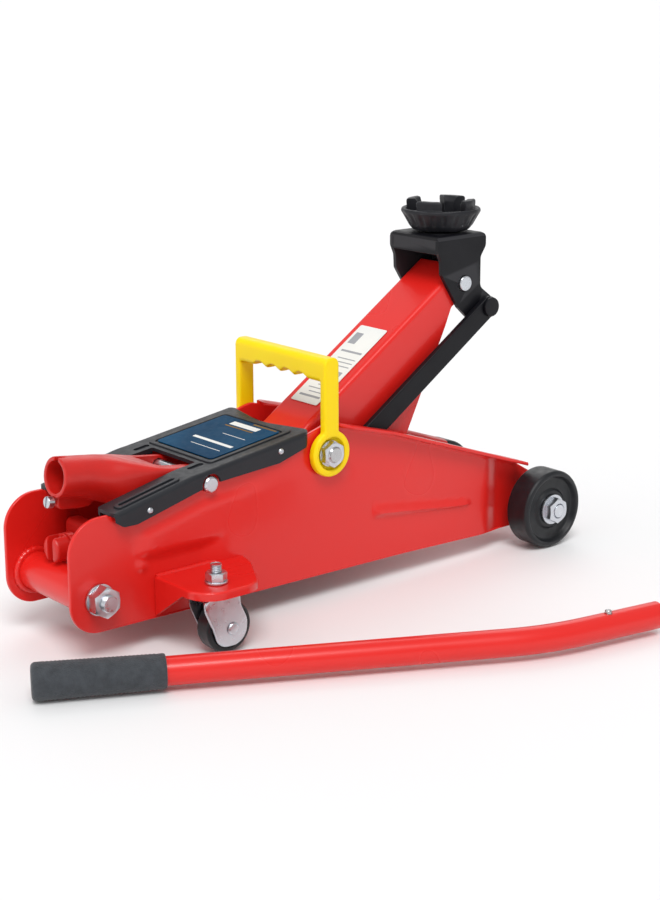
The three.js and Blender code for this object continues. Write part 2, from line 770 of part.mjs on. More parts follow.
function handleParts() {
  const at = group(gripEnd.x, gripEnd.y, bar.gripRadius);
  at.rotation.z = straight;
  const bendSoftness = 22;
  const turn = bent - straight;
  const direction = new THREE.Vector3(Math.cos(turn), Math.sin(turn), 0);
  const corner = new THREE.Vector3(bendAt, 0, 0);
  const before = corner.clone().setX(bendAt - bendSoftness);
  const after = corner.clone().addScaledVector(direction, bendSoftness);
  const end = corner.clone().addScaledVector(direction, bentLength);
  const path = new THREE.CurvePath();
  path.add(new THREE.LineCurve3(new THREE.Vector3(4, 0, 0), before));
  path.add(new THREE.QuadraticBezierCurve3(before, corner, after));
  path.add(new THREE.LineCurve3(after, end));
  const section = disc(0, 0, bar.radius);
  section.holes.push(circle(0, 0, bar.radius - bar.wall));
  const options = { steps: 22, extrudePath: path, curveSegments: 8, bevelEnabled: false };
  const pipe = new THREE.ExtrudeGeometry(section, options);
  const pinSpot = corner.clone().addScaledVector(direction, 50);
  const pinHole = rod("z", 2.5 + GAP, 0, 20, COARSE).translate(pinSpot.x, pinSpot.y, 0);
  piece("handle_pipe", cut(pipe, pinHole), redPaint, at);
  const pin = rod("z", 2.5, bar.radius - bar.wall, bar.radius + 2.2, COARSE);
  piece("handle_detent", pin.translate(pinSpot.x, pinSpot.y, 0), steel, at);
  const grip = turned("x", [
    [0, 0],
    [bar.gripRadius - 2, 0],
    [bar.gripRadius, 2],
    [bar.gripRadius - 1, bar.gripLength - 1],
    [bar.gripRadius - 2, bar.gripLength],
    [bar.radius + GAP, bar.gripLength],
    [bar.radius + GAP, 3],
    [0, 3],
  ]);
  piece("handle_grip", grip, gripFoam, at);
}
handleParts();

// ---- origin: middle of the footprint, on the floor ----------------------------------------------

const whole = new THREE.Box3().setFromObject(jack, true);
const middle = whole.getCenter(new THREE.Vector3());
jack.position.set(-middle.x, -middle.y, -whole.min.z);
const part = new THREE.Group();
part.add(jack);

export default part;
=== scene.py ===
import math
import random

import bmesh
import bpy
import numpy as np
from mathutils import Matrix, Vector
from mathutils.geometry import delaunay_2d_cdt


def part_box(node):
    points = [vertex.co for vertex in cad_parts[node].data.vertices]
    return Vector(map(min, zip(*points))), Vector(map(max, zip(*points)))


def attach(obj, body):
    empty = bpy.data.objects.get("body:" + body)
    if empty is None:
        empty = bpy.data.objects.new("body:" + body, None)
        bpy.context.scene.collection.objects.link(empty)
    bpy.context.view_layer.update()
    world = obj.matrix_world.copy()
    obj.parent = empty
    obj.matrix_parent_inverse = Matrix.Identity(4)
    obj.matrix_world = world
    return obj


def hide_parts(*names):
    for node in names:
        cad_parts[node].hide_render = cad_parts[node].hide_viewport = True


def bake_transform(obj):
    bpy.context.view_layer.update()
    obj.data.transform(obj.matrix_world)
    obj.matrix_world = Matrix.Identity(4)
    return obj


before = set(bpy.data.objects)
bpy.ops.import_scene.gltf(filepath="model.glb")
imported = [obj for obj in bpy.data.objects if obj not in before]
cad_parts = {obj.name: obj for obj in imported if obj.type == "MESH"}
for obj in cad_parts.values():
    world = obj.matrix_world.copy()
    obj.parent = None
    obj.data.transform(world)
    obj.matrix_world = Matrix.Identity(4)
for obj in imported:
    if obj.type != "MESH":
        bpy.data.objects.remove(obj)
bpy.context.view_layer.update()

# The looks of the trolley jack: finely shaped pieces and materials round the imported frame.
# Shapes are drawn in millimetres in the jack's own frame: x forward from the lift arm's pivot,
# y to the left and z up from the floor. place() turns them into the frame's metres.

# ---- sizes, from the frame ----

MM = 0.001
shaft_low, shaft_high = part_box("lift_pivot_shaft")
ORIGIN = Vector(((shaft_low.x + shaft_high.x) / 2, (shaft_low.y + shaft_high.y) / 2, 0))
TO_FRAME = Matrix.Translation(ORIGIN) @ Matrix.Scale(MM, 4)


def span(node):
    """Lowest and highest corner of a CAD node, in jack millimetres."""
    low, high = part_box(node)
    return (low - ORIGIN) / MM, (high - ORIGIN) / MM


def middle(node):
    """The middle of a CAD node's box."""
    low, high = span(node)
    return (low + high) / 2


SHEET = 3
GAP = 0.35  # air between pieces that lie next to each other
PIVOT_HOLE, M12_HOLE, PIN_HOLE = 8.4, 6.4, 4.4  # radii of the holes for the shaft, bolts and pins
PLATE_LOW, PLATE_HIGH = span("side_plate_right")
FRAME_REAR, FRAME_FRONT = PLATE_LOW.x, PLATE_HIGH.x
FLANGE_HALF = -PLATE_LOW.y
PIVOT = middle("lift_pivot_shaft")
TIP = middle("saddle_pin")
ARM_LENGTH = math.hypot(TIP.x - PIVOT.x, TIP.z - PIVOT.z)
ARM_ANGLE = math.atan2(TIP.z - PIVOT.z, TIP.x - PIVOT.x)
TIE = middle("rear_cross_tube")
AXLE = middle("front_axle")
ROLLER = middle("arm_roller")
LINK_LOW = middle("link_stud_right")
SOCKET_PIN = middle("socket_pivot_pin")
PLUNGER = middle("pump_plunger")
VALVE = middle("release_valve")
TANK_LOW, TANK_HIGH = span("reservoir_tube")
TANK = middle("reservoir_tube")
CASTER = middle("caster_nut_right")
CASTER_AXLE = middle("caster_axle_right")

# ---- outlines ----


def rounded(corners, step=1.0):
    """Points round a closed outline; a corner is (across, up), or (across, up, fillet radius)."""
    points = []
    for i, corner in enumerate(corners):
        here = Vector(corner[:2])
        radius = corner[2] if len(corner) > 2 else 0
        if radius == 0:
            points.append(here)
            continue
        back = (Vector(corners[i - 1][:2]) - here).normalized()
        ahead = (Vector(corners[(i + 1) % len(corners)][:2]) - here).normalized()
        half = back.angle(ahead) / 2
        reach = radius / math.tan(half)
        centre = (back + ahead).normalized() * (radius / math.sin(half))
        start = back * reach - centre
        end = ahead * reach - centre
        turn = math.atan2(start.cross(end), start.dot(end))
        count = max(2, math.ceil(abs(turn) * radius / step))
        for k in range(count + 1):
            angle = turn * k / count
            spoke = Matrix.Rotation(angle, 2) @ start
            points.append(here + centre + spoke)
    return points


def ring(radius, across=0, up=0, sides=48):
    """Points round a circle."""
    return [
        Vector((across + radius * math.cos(a), up + radius * math.sin(a)))
        for a in np.linspace(0, 2 * math.pi, sides, endpoint=False)
    ]


def area(loop):
    return sum(loop[i - 1].cross(p) for i, p in enumerate(loop)) / 2


def turned_to(loop, anticlockwise):
    return loop if (area(loop) > 0) == anticlockwise else loop[::-1]


def inset(loop, distance):
    """The loop moved to its left, which is inwards where it runs anticlockwise."""
    moved = []
    for i, here in enumerate(loop):
        before = (here - loop[i - 1]).normalized()
        after = (loop[(i + 1) % len(loop)] - here).normalized()
        left = Vector((-before.y - after.y, before.x + after.x)).normalized()
        lean = max(left.dot(Vector((-before.y, before.x))), 0.5)
        moved.append(here + left * (distance / lean))
    return moved


def inside(points, loop):
    """Which points lie within a loop, as an array of true and false."""
    points = np.asarray(points, float).reshape(-1, 2)
    corners = np.array([tuple(p) for p in loop], float)
    after = np.roll(corners, -1, axis=0)
    found = np.zeros(len(points), bool)
    for (ax, ay), (bx, by) in zip(corners, after):
        if ay == by:
            continue
        crosses = (ay > points[:, 1]) != (by > points[:, 1])
        at = ax + (points[:, 1] - ay) * (bx - ax) / (by - ay)
        found ^= crosses & (points[:, 0] < at)
    return found


def ease(value, start, end):
    """0 before start and 1 after end, with a smooth step between."""
    t = np.clip((value - start) / (end - start), 0, 1)
    return t * t * (3 - 2 * t)


# ---- solids ----


def solid(vertices, faces):
    """A new mesh object, closed and facing outwards."""
    mesh = bpy.data.meshes.new("solid")
    mesh.from_pydata([tuple(v) for v in vertices], [], faces)
    work = bmesh.new()
    work.from_mesh(mesh)
    bmesh.ops.remove_doubles(work, verts=work.verts, dist=0.004)
    bmesh.ops.recalc_face_normals(work, faces=work.faces)
    work.to_mesh(mesh)
    work.free()
    shape = bpy.data.objects.new("solid", mesh)
    bpy.context.scene.collection.objects.link(shape)
    return shape


def band(a, b, count):
    """Quads between two rings of vertices, which start at numbers a and b."""
    return [(a + k, a + (k + 1) % count, b + (k + 1) % count, b + k) for k in range(count)]


def skin(rings, loop=False):
    """A solid through rings of points, closed at both ends unless the last ring meets the first."""
    count, around = len(rings), len(rings[0])
    faces = []
    for i in range(count if loop else count - 1):
        faces += band(i * around, (i + 1) % count * around, around)
    if not loop:
        last = (count - 1) * around
        faces += [tuple(range(around))[::-1], tuple(last + k for k in range(around))]
    return solid([point for points in rings for point in points], faces)


# How a point (across, up) of an outline, at a distance along, lies about each axis.
AXES = {
    "x": lambda u, v, w: (w, u, v),
    "y": lambda u, v, w: (u, w, v),
    "z": lambda u, v, w: (u, v, w),
}


def within(points, loops):
    """Which points lie in the first loop and in none of the others."""
    keep = inside(points, loops[0])
    for hole in loops[1:]:
        keep &= ~inside(points, hole)
    return keep


def cap(loops, creases, grid):
    """Triangles that fill an outline less its holes, with points of a grid between."""
    points, edges = [], []
    for loop in loops + creases:
        first = len(points)
        edges += [(first + i, first + (i + 1) % len(loop)) for i in range(len(loop))]
        points += loop
    if grid:
        corners = np.array([tuple(p) for p in loops[0]])
        low, high = corners.min(0) + grid / 2, corners.max(0)
        across, up = np.meshgrid(np.arange(low[0], high[0], grid), np.arange(low[1], high[1], grid))
        spots = np.column_stack([across.ravel(), up.ravel()])
        spots = spots[within(spots, loops)]
        taken = np.array([tuple(p) for p in points])
        gaps = np.array([np.min(np.abs(taken - s).max(1)) for s in spots])
        least_gap = 0.45 * grid
        points += [Vector(s) for s in spots[gaps > least_gap]]
    found = delaunay_2d_cdt(points, edges, [], 1, 1e-5)
    spots = np.array([tuple(p) for p in found[0]])
    triangles = np.array([f for f in found[2]])
    return spots, triangles[within(spots[triangles].mean(1), loops)]


def slab(axis, corners, low, high, holes=(), edge=0.6, grid=None, bend=None, creases=(), step=1.0):
    """A plate with rounded edges. bend(across, up) moves both faces, whose meshes follow the creases."""
    outer = turned_to(rounded(corners, step), True)
    loops = [outer] + [turned_to(list(hole), False) for hole in holes]
    vertices, faces = [], []

    def add(points, height):
        across, up = np.array([tuple(p) for p in points], float).T
        lifted = height + (bend(across, up) if bend else np.zeros_like(across))
        first = len(vertices)
        vertices.extend(AXES[axis](u, v, w) for u, v, w in zip(across, up, lifted))
        return first

    turns = np.linspace(0, math.pi / 2, 4)
    curve = [(edge * (1 - math.sin(t)), edge * (1 - math.cos(t))) for t in turns]
    levels = [(inward, low + rise) for inward, rise in curve]
    levels += [(inward, high - rise) for inward, rise in curve[::-1]]
    for loop in loops:
        starts = [add(inset(loop, inward), height) for inward, height in levels]
        for a, b in zip(starts, starts[1:]):
            faces += band(a, b, len(loop))
    spots, triangles = cap([inset(loop, edge) for loop in loops], list(creases), grid)
    for height, turn in ((low, -1), (high, 1)):
        first = add(spots, height)
        faces += [tuple(first + int(i) for i in t[::turn]) for t in triangles]
    return solid(vertices, faces)


def oblong(left, low, right, high, fillet=0):
    """A rectangle's corners, as an outline."""
    return [(u, v, fillet) for u, v in ((left, low), (right, low), (right, high), (left, high))]


def lathe(axis, corners, sides=72, step=0.7, at=(0, 0, 0)):
    """Turns an outline of (radius, along, fillet) corners about an axis."""
    profile = rounded(corners, step)
    angles = np.linspace(0, 2 * math.pi, sides, endpoint=False)
    vertices, rings, faces = [], [], []
    for radius, along in profile:
        first = len(vertices)
        if radius < 1e-6:
            vertices.append(AXES[axis](0, 0, along))
            rings.append([first] * sides)
        else:
            vertices += [AXES[axis](radius * math.cos(a), radius * math.sin(a), along) for a in angles]
            rings.append([first + i for i in range(sides)])
    for i, here in enumerate(rings):
        before = rings[i - 1]
        if here[0] == here[1] and before[0] == before[1]:
            continue
        for k in range(sides):
            quad = [before[k], before[(k + 1) % sides], here[(k + 1) % sides], here[k]]
            faces.append(tuple(dict.fromkeys(quad)))
    return solid([Vector(v) + Vector(at) for v in vertices], faces)


def rod(axis, radius, low, high, at=(0, 0, 0), edge=0, bore=0):
    """A round bar or, with a bore, a tube or washer."""
    corners = [(bore, low), (radius, low, edge), (radius, high, edge), (bore, high)]
    return lathe(axis, corners, at=at)


def sweep(path, section, start_up=(0, 0, 1), loop=False):
    """Carries a closed section of (across, up) points along a path, without twisting."""
    path = [Vector(p) for p in path]
    count = len(path)
    up = Vector(start_up)
    rings = []
    for i, here in enumerate(path):
        ahead = path[(i + 1) % count] if loop or i < count - 1 else here
        back = path[i - 1] if loop or i > 0 else here
        tangent = (ahead - back).normalized()
        up = (up - tangent * up.dot(tangent)).normalized()
        side = tangent.cross(up)
        rings.append([here + side * p[0] + up * p[1] for p in section])
    return skin(rings, loop)


def coil(axis, radius, wire, low, high, turns, at=(0, 0, 0)):
    """A compression spring with closed end turns."""
    per_turn = 28
    closed_pitch, end_gap = wire * 2.2, wire * 2.6
    path = []
    for i in range(int((turns + 2) * per_turn) + 1):
        turn = i / per_turn - 1
        share = min(max(turn / turns, 0), 1)
        seat = closed_pitch * (min(turn, 0) + max(turn - turns, 0))
        along = low + end_gap + seat + share * (high - low - 2 * end_gap)
        angle = 2 * math.pi * turn
        spot = AXES[axis](radius * math.cos(angle), radius * math.sin(angle), along)
        path.append(Vector(spot) + Vector(at))
    return sweep(path, ring(wire, sides=10), start_up=AXES[axis](0, 0, 1))


def nut(axis, flats, tall, bore, chamfer=1.0, at=(0, 0, 0), facing=1):
    """A hexagon nut or, with no bore, a bolt head; its outer face has turned corners."""
    sides = 96
    flat = flats / 2
    face = flat * 0.97
    corner_reach = flat * 0.155
    vertices, rings, faces = [], [], []

    def reach(angle):
        return flat / math.cos((angle + math.pi / 6) % (math.pi / 3) - math.pi / 6)

    def turned(angle):
        """Height of the flats' upper edge, which drops towards the corners."""
        return tall - chamfer * (reach(angle) - face) / corner_reach * 0.75

    levels = [
        (lambda a: bore, lambda a: 0),
        (lambda a: reach(a) - 0.3, lambda a: 0),
        (reach, lambda a: chamfer * 0.15),
        (reach, turned),
        (lambda a: face, lambda a: tall),
        (lambda a: bore, lambda a: tall),
    ]
    for radius, height in levels:
        rings.append(len(vertices))
        for a in np.linspace(0, 2 * math.pi, sides, endpoint=False):
            u, v = radius(a) * math.cos(a), radius(a) * math.sin(a)
            vertices.append(AXES[axis](u, v, facing * height(a)))
    pairs = list(zip(rings, rings[1:]))
    if bore > 0:
        pairs.append((rings[-1], rings[0]))
    for a, b in pairs:
        faces += band(a, b, sides)
    return solid([Vector(v) + Vector(at) for v in vertices], faces)


# ---- working on solids ----


def bake(shape):
    """Makes the object's modifiers real."""
    graph = bpy.context.evaluated_depsgraph_get()
    made = bpy.data.meshes.new_from_object(shape.evaluated_get(graph))
    shape.modifiers.clear()
    shape.data = made
    return shape


def combine(base, others, how):
    for other in others:
        step = base.modifiers.new("combine", "BOOLEAN")
        step.operation = how
        step.object = other
        step.solver = "MANIFOLD"
        bake(base)
        bpy.data.objects.remove(other)
    return base


def join(base, *others):
    return combine(base, others, "UNION")


def cut(base, *others):
    return combine(base, others, "DIFFERENCE")


def common(base, *others):
    return combine(base, others, "INTERSECT")


def bevel(shape, width, angle=40, segments=2):
    """Chamfers the edges sharper than an angle, in a few steps."""
    step = shape.modifiers.new("bevel", "BEVEL")
    step.width = width
    step.segments = segments
    step.limit_method = "ANGLE"
    step.angle_limit = math.radians(angle)
    return bake(shape)


def cast(shape, voxel, rounds):
    """Melts a solid's corners as in a casting or a moulding."""
    skin = shape.modifiers.new("skin", "REMESH")
    skin.mode = "VOXEL"
    skin.voxel_size = voxel
    soft = shape.modifiers.new("soft", "SMOOTH")
    soft.factor = 0.5
    soft.iterations = rounds
    return bake(shape)


def copy(shape, matrix):
    """A second solid, placed by a matrix."""
    twin = bpy.data.objects.new("solid", shape.data.copy())
    bpy.context.scene.collection.objects.link(twin)
    twin.data.transform(matrix)
    if matrix.determinant() < 0:
        twin.data.flip_normals()
    return twin


MIRROR = Matrix.Scale(-1, 4, (0, 1, 0))


def move(shape, matrix):
    shape.data.transform(matrix)
    return shape


def shift(shape, x=0, y=0, z=0):
    return move(shape, Matrix.Translation((x, y, z)))


def tilted(x, z, angle):
    """A place in the jack's middle plane, turned about y by an angle."""
    return Matrix.Translation((x, 0, z)) @ Matrix.Rotation(angle, 4, "Y")


def place(shape, name, finish, body, replaced=(), matrix=None, crease=35):
    """Names a finished solid, puts it in the frame and lets it ride on its body."""
    shape.name = name
    shape.data.name = name
    if matrix:
        shape.data.transform(matrix)
    shape.data.transform(TO_FRAME)
    shape.data.materials.clear()
    shape.data.materials.append(finish)
    shape.data.shade_smooth()
    shape.data.set_sharp_from_angle(angle=math.radians(crease))
    normals = shape.modifiers.new("normals", "WEIGHTED_NORMAL")
    normals.keep_sharp = True
    if body:
        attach(shape, body)
    if replaced:
        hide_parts(*([replaced] if isinstance(replaced, str) else replaced))
    return shape


def place_pair(shape, name, finish, bodies, nodes=None, matrix=None, crease=35):
    """Places a right-hand solid, and its mirror image on the left."""
    if matrix:
        shape.data.transform(matrix)
    twin = copy(shape, MIRROR)
    right, left = (bodies, bodies) if isinstance(bodies, str) else bodies
    replaced = [f"{nodes}_right", f"{nodes}_left"] if nodes else [(), ()]
    place(shape, f"{name}_right", finish, right, replaced[0], crease=crease)
    place(twin, f"{name}_left", finish, left, replaced[1], crease=crease)


# ---- materials ----


class Paint:
    """A Principled material under construction."""

    def __init__(self, name, slot, color, roughness, metallic=0.0, **constants):
        self.material = bpy.data.materials.new(name)
        self.material.use_nodes = True
        self.material["slot"] = slot
        self.tree = self.material.node_tree
        self.shader = self.tree.nodes["Principled BSDF"]
        self.set("Base Color", (*color, 1))
        self.set("Roughness", roughness)
        self.set("Metallic", metallic)
        for socket, value in constants.items():
            self.set(socket.replace("_", " "), value)
        self.bumped = None

    def set(self, socket, value):
        self.shader.inputs[socket].default_value = value

    def node(self, kind, **inputs):
        made = self.tree.nodes.new(kind)
        for socket, value in inputs.items():
            self.feed(made.inputs[socket.replace("_", " ")], value)
        return made

    def feed(self, socket, value):
        if isinstance(value, bpy.types.NodeSocket):
            self.tree.links.new(value, socket)
        else:
            socket.default_value = value

    def place(self, stretch=(1, 1, 1)):
        """Where a point is on its piece, in metres."""
        spot = self.node("ShaderNodeTexCoord").outputs["Object"]
        if stretch == (1, 1, 1):
            return spot
        return self.node("ShaderNodeMapping", Vector=spot, Scale=stretch).outputs["Vector"]

    def noise(self, scale, detail=3.0, stretch=(1, 1, 1)):
        """Noise from 0 to 1, with so many features in a metre."""
        made = self.node("ShaderNodeTexNoise", Vector=self.place(stretch), Scale=scale, Detail=detail)
        return made.outputs["Fac"]

    def spread(self, value, low, high, start=0.3, end=0.7):
        """The value stretched from start..end to low..high."""
        made = self.node("ShaderNodeMapRange", Value=value)
        for socket, number in zip(("From Min", "From Max", "To Min", "To Max"), (start, end, low, high)):
            made.inputs[socket].default_value = number
        return made.outputs["Result"]

    def edges(self, start, end):
        """1 on the piece's sharp outer edges, and 0 elsewhere."""
        point = self.node("ShaderNodeNewGeometry").outputs["Pointiness"]
        return self.spread(point, 0, 1, start, end)

    def tint(self, share, color):
        """Mixes a colour over the base by a share."""
        mix = self.tree.nodes.new("ShaderNodeMix")
        mix.data_type = "RGBA"
        below = self.shader.inputs["Base Color"]
        if below.is_linked:
            self.tree.links.new(below.links[0].from_socket, mix.inputs["A"])
        else:
            mix.inputs["A"].default_value = below.default_value
        self.feed(mix.inputs["Factor"], share)
        mix.inputs["B"].default_value = (*color, 1)
        self.tree.links.new(mix.outputs["Result"], below)

    def rough(self, low, high, scale, detail=3.0, stretch=(1, 1, 1)):
        """Lets the roughness wander between two values."""
        value = self.spread(self.noise(scale, detail, stretch), low, high)
        self.tree.links.new(value, self.shader.inputs["Roughness"])

    def mottle(self, color, share, scale, detail=3.0, start=0.3, end=0.7):
        """Clouds of a second colour, up to a share of it."""
        self.tint(self.spread(self.noise(scale, detail), 0, share, start, end), color)

    def grain(self, height, scale, detail=3.0, stretch=(1, 1, 1)):
        """A fine relief of so many metres."""
        self.bump(self.noise(scale, detail, stretch), height)

    def bump(self, height, distance):
        """Adds a relief of so many metres, on top of earlier ones."""
        made = self.node("ShaderNodeBump", Height=height, Distance=distance, Strength=1.0)
        if self.bumped:
            self.tree.links.new(self.bumped, made.inputs["Normal"])
        self.bumped = made.outputs["Normal"]
        self.tree.links.new(self.bumped, self.shader.inputs["Normal"])


def red_enamel():
    """Glossy baked enamel with a little orange peel."""
    paint = Paint("red_enamel", "red_paint", (0.72, 0.014, 0.010), 0.32,
                  Specular_IOR_Level=0.4, Coat_Weight=0.25, Coat_Roughness=0.1)
    paint.mottle((0.64, 0.011, 0.008), 0.4, 7, 1, 0.1, 0.9)
    paint.rough(0.27, 0.37, 12, 1)
    paint.grain(0.00001, 30, 1)
    return paint.material


def red_casting():
    """The same red over rougher cast or forged iron."""
    paint = Paint("red_casting", "red_casting", (0.62, 0.012, 0.008), 0.4,
                  Specular_IOR_Level=0.4, Coat_Weight=0.2, Coat_Roughness=0.2)
    paint.mottle((0.46, 0.008, 0.005), 0.6, 30)
    paint.rough(0.32, 0.5, 120)
    paint.grain(0.00003, 900, 4)
    paint.grain(0.00010, 140, 3)
    return paint.material


def black_enamel():
    """Black paint, paler on its sharp outer edges."""
    paint = Paint("black_enamel", "black_paint", (0.005, 0.005, 0.007), 0.38, Specular_IOR_Level=0.2)
    paint.mottle((0.010, 0.010, 0.013), 0.6, 40)
    # the sharp outer edges are tinted a paler grey
    paint.tint(paint.edges(0.56, 0.70), (0.03, 0.03, 0.034))
    paint.rough(0.3, 0.46, 90)
    paint.grain(0.00002, 700, 3)
    return paint.material


def saddle_iron():
    """Black paint, rubbed to bare metal on the cup's floor and the prongs' tops."""
    paint = Paint("saddle_iron", "black_paint", (0.008, 0.008, 0.011), 0.45, Specular_IOR_Level=0.25)
    paint.mottle((0.022, 0.023, 0.027), 0.8, 60, 5)
    rubbed = paint.node("ShaderNodeMath", Value=paint.edges(0.52, 0.62))
    rubbed.operation = "MULTIPLY"
    paint.feed(rubbed.inputs[1], paint.spread(paint.noise(110, 4), 0, 1, 0.46, 0.6))
    paint.tint(rubbed.outputs[0], (0.30, 0.31, 0.33))
    paint.rough(0.3, 0.6, 150, 4)
    paint.grain(0.00008, 500, 4)
    return paint.material


def black_plastic():
    """Moulded plastic with a fine spark-eroded grain, and a painted highlight along its sharp edges."""
    paint = Paint("black_plastic", "black_plastic", (0.012, 0.013, 0.017), 0.42, Specular_IOR_Level=0.35)
    paint.mottle((0.018, 0.020, 0.025), 0.5, 14)
    # painted highlight: the sharp edges of the rails and skirts are lightened to grey
    paint.tint(paint.edges(0.54, 0.66), (0.07, 0.074, 0.085))
    paint.rough(0.36, 0.5, 200)
    paint.grain(0.00002, 2200, 2)
    return paint.material


def wheel_plastic():
    """Hard black wheel plastic, with a painted highlight along the tread's edges."""
    paint = Paint("wheel_plastic", "wheel_plastic", (0.006, 0.007, 0.009), 0.38, Specular_IOR_Level=0.4)
    paint.mottle((0.014, 0.015, 0.018), 0.7, 70, 5)
    # painted highlight: the tread's sharp edges are lightened as if they caught the light
    paint.tint(paint.edges(0.54, 0.64), (0.04, 0.042, 0.046))
    paint.rough(0.28, 0.5, 160, 4)
    paint.grain(0.00002, 1200, 3)
    return paint.material


def yellow_plastic():
    """Bright plastic that lets a little light in."""
    paint = Paint("yellow_plastic", "yellow_plastic", (0.95, 0.70, 0.002), 0.34,
                  Specular_IOR_Level=0.25, Subsurface_Weight=0.08, Subsurface_Scale=0.002)
    paint.mottle((0.92, 0.64, 0.002), 0.5, 25)
    paint.rough(0.28, 0.42, 110)
    paint.grain(0.00001, 1500, 2)
    paint.grain(0.00003, 120, 2)
    return paint.material


def zinc_plate():
    """Bright zinc plating, slightly clouded, with fine drawing marks."""
    paint = Paint("zinc_plate", "zinc_steel", (0.66, 0.68, 0.72), 0.3, metallic=1.0)
    paint.mottle((0.50, 0.52, 0.56), 0.35, 60, 3)
    paint.rough(0.24, 0.38, 200, 3)
    paint.grain(0.00001, 1400, 3, stretch=(1, 1, 0.2))
    return paint.material


def machined_steel():
    """Ground steel with turning marks."""
    paint = Paint("machined_steel", "machined_steel", (0.56, 0.56, 0.57), 0.25, metallic=1.0)
    paint.mottle((0.40, 0.39, 0.38), 0.5, 50, 4)
    paint.rough(0.16, 0.36, 300, 3, stretch=(6, 1, 1))
    paint.grain(0.00001, 900, 2, stretch=(8, 1, 1))
    return paint.material


def grip_foam():
    """Dark closed-cell foam: fine pores over a mottled skin."""
    paint = Paint("grip_foam", "grip_foam", (0.030, 0.034, 0.040), 0.9,
                  Sheen_Weight=0.15, Sheen_Roughness=0.5)
    paint.mottle((0.055, 0.062, 0.072), 0.7, 160, 4)
    pores = paint.node("ShaderNodeTexVoronoi", Vector=paint.place(), Scale=1100.0).outputs["Distance"]
    paint.bump(pores, 0.0003)
    paint.grain(0.0004, 300, 4)
    paint.rough(0.8, 0.95, 400)
    return paint.material


def printed(name, slot, color, second):
    """A satin printed film."""
    paint = Paint(name, slot, color, 0.42, Specular_IOR_Level=0.03)
    paint.mottle(second, 1, 18)
    paint.rough(0.38, 0.5, 260)
    paint.grain(0.00001, 500, 2)
    return paint.material


RED = red_enamel()
CAST_RED = red_casting()
BLACK = black_enamel()
SADDLE = saddle_iron()
COVER = black_plastic()
WHEEL = wheel_plastic()
YELLOW = yellow_plastic()
ZINC = zinc_plate()
STEEL = machined_steel()
FOAM = grip_foam()
BLUE = printed("blue_film", "blue_label", (0.003, 0.030, 0.075), (0.008, 0.065, 0.14))
PALE = printed("pale_film", "pale_label", (0.80, 0.80, 0.77), (0.70, 0.71, 0.70))
GREY_INK = printed("grey_ink", "pale_label", (0.36, 0.37, 0.39), (0.26, 0.27, 0.30))
AMBER_INK = printed("amber_ink", "blue_label", (0.30, 0.16, 0.03), (0.16, 0.09, 0.03))

# ---- side plates ----

# Height of the cover's top surface, over the rear half of the frame.
COVER_LINE = [(-182.5, 100.3), (-121, 114), (-17, 129)]
COVER_SHEET = 2.5
COVER_HALF = 48.6
SKIRT_HALF = 46.4
UNDER_COVER = COVER_SHEET + GAP
EAR, BODY, NOSE = 42, 46, 40


def rib_line(x, share):
    """A line along the front rib, from its lower foot at 0 to its upper foot at 1."""
    spine = np.interp(x, [45, 145], [57.5, 44.5])
    width = np.interp(x, [45, 145], [6.5, 3.5])
    return spine + (2 * share - 1) * width


def rib_band(low, high):
    """The outline of the rib between two such lines."""
    along = np.linspace(43, 147, 60)
    lower = [Vector((x, rib_line(x, low))) for x in along]
    return lower + [Vector((x, rib_line(x, high))) for x in along[::-1]]


def pressed(x, z):
    """How far out a side plate stands at a place on it."""
    skirt_edge = np.interp(x, [-166, -108, -45, 0], [91, 105, 110, 116])
    rear = ease(x, -167, -153)
    low = np.maximum(ease(z, 60, 69), ease(x, -112, -88))
    high = 1 - 0.62 * ease(z, skirt_edge - 15, skirt_edge - 8) * (1 - ease(x, -100, -45))
    half = EAR + (BODY - EAR) * rear * low * high
    half += (NOSE - BODY) * ease(x, 160, 181)
    half -= 1.6 * ease(z, 70, 112) * ease(x, -30, 30) * (1 - ease(x, 140, 170))
    along_rib = ease(x, 43, 49) * (1 - ease(x, 138, 147))
    across_rib = (z - rib_line(x, 0)) / (rib_line(x, 1) - rib_line(x, 0))
    half += 2.6 * along_rib * ease(across_rib, 0, 0.3) * (1 - ease(across_rib, 0.3, 1))
    dimple = np.hypot(x + 158.5, z - 58.3)
    half += 2.0 * (1 - ease(dimple, 0.5, 6.0))
    weld = np.hypot(x - LINK_LOW.x, z - LINK_LOW.z)
    half -= 0.5 * (1 - ease(weld, 3.0, 7.0))
    return half


def flange():
    """The plate's top edge, bent outwards over the front half."""
    rings = []
    for x in np.concatenate([np.linspace(8, 22, 10), np.linspace(26, 201, 60)]):
        line = np.interp(x, [0, 6, 59, 201], [129.5, 131.4, 116.8, 67.6])
        root = -float(pressed(np.array([x]), np.array([line - 6]))[0])
        corner = ease(x, 8, 20)
        out = root + (-FLANGE_HALF + 0.2 - root) * math.sqrt(max(corner, 0.004))
        bend = min(4.5, (root - out) * 0.6)
        under, foot = line - SHEET + 0.2, line - 13
        section = rounded([
            (root + SHEET, foot),
            (root + SHEET, line, bend + 0.5),
            (out, line, 0.9),
            (out, under, 0.9),
            (root, under, max(bend - 1.6, 0.4)),
            (root, foot),
        ], 50)
        rings.append([(x, p.x, p.y) for p in section])
    return skin(rings)


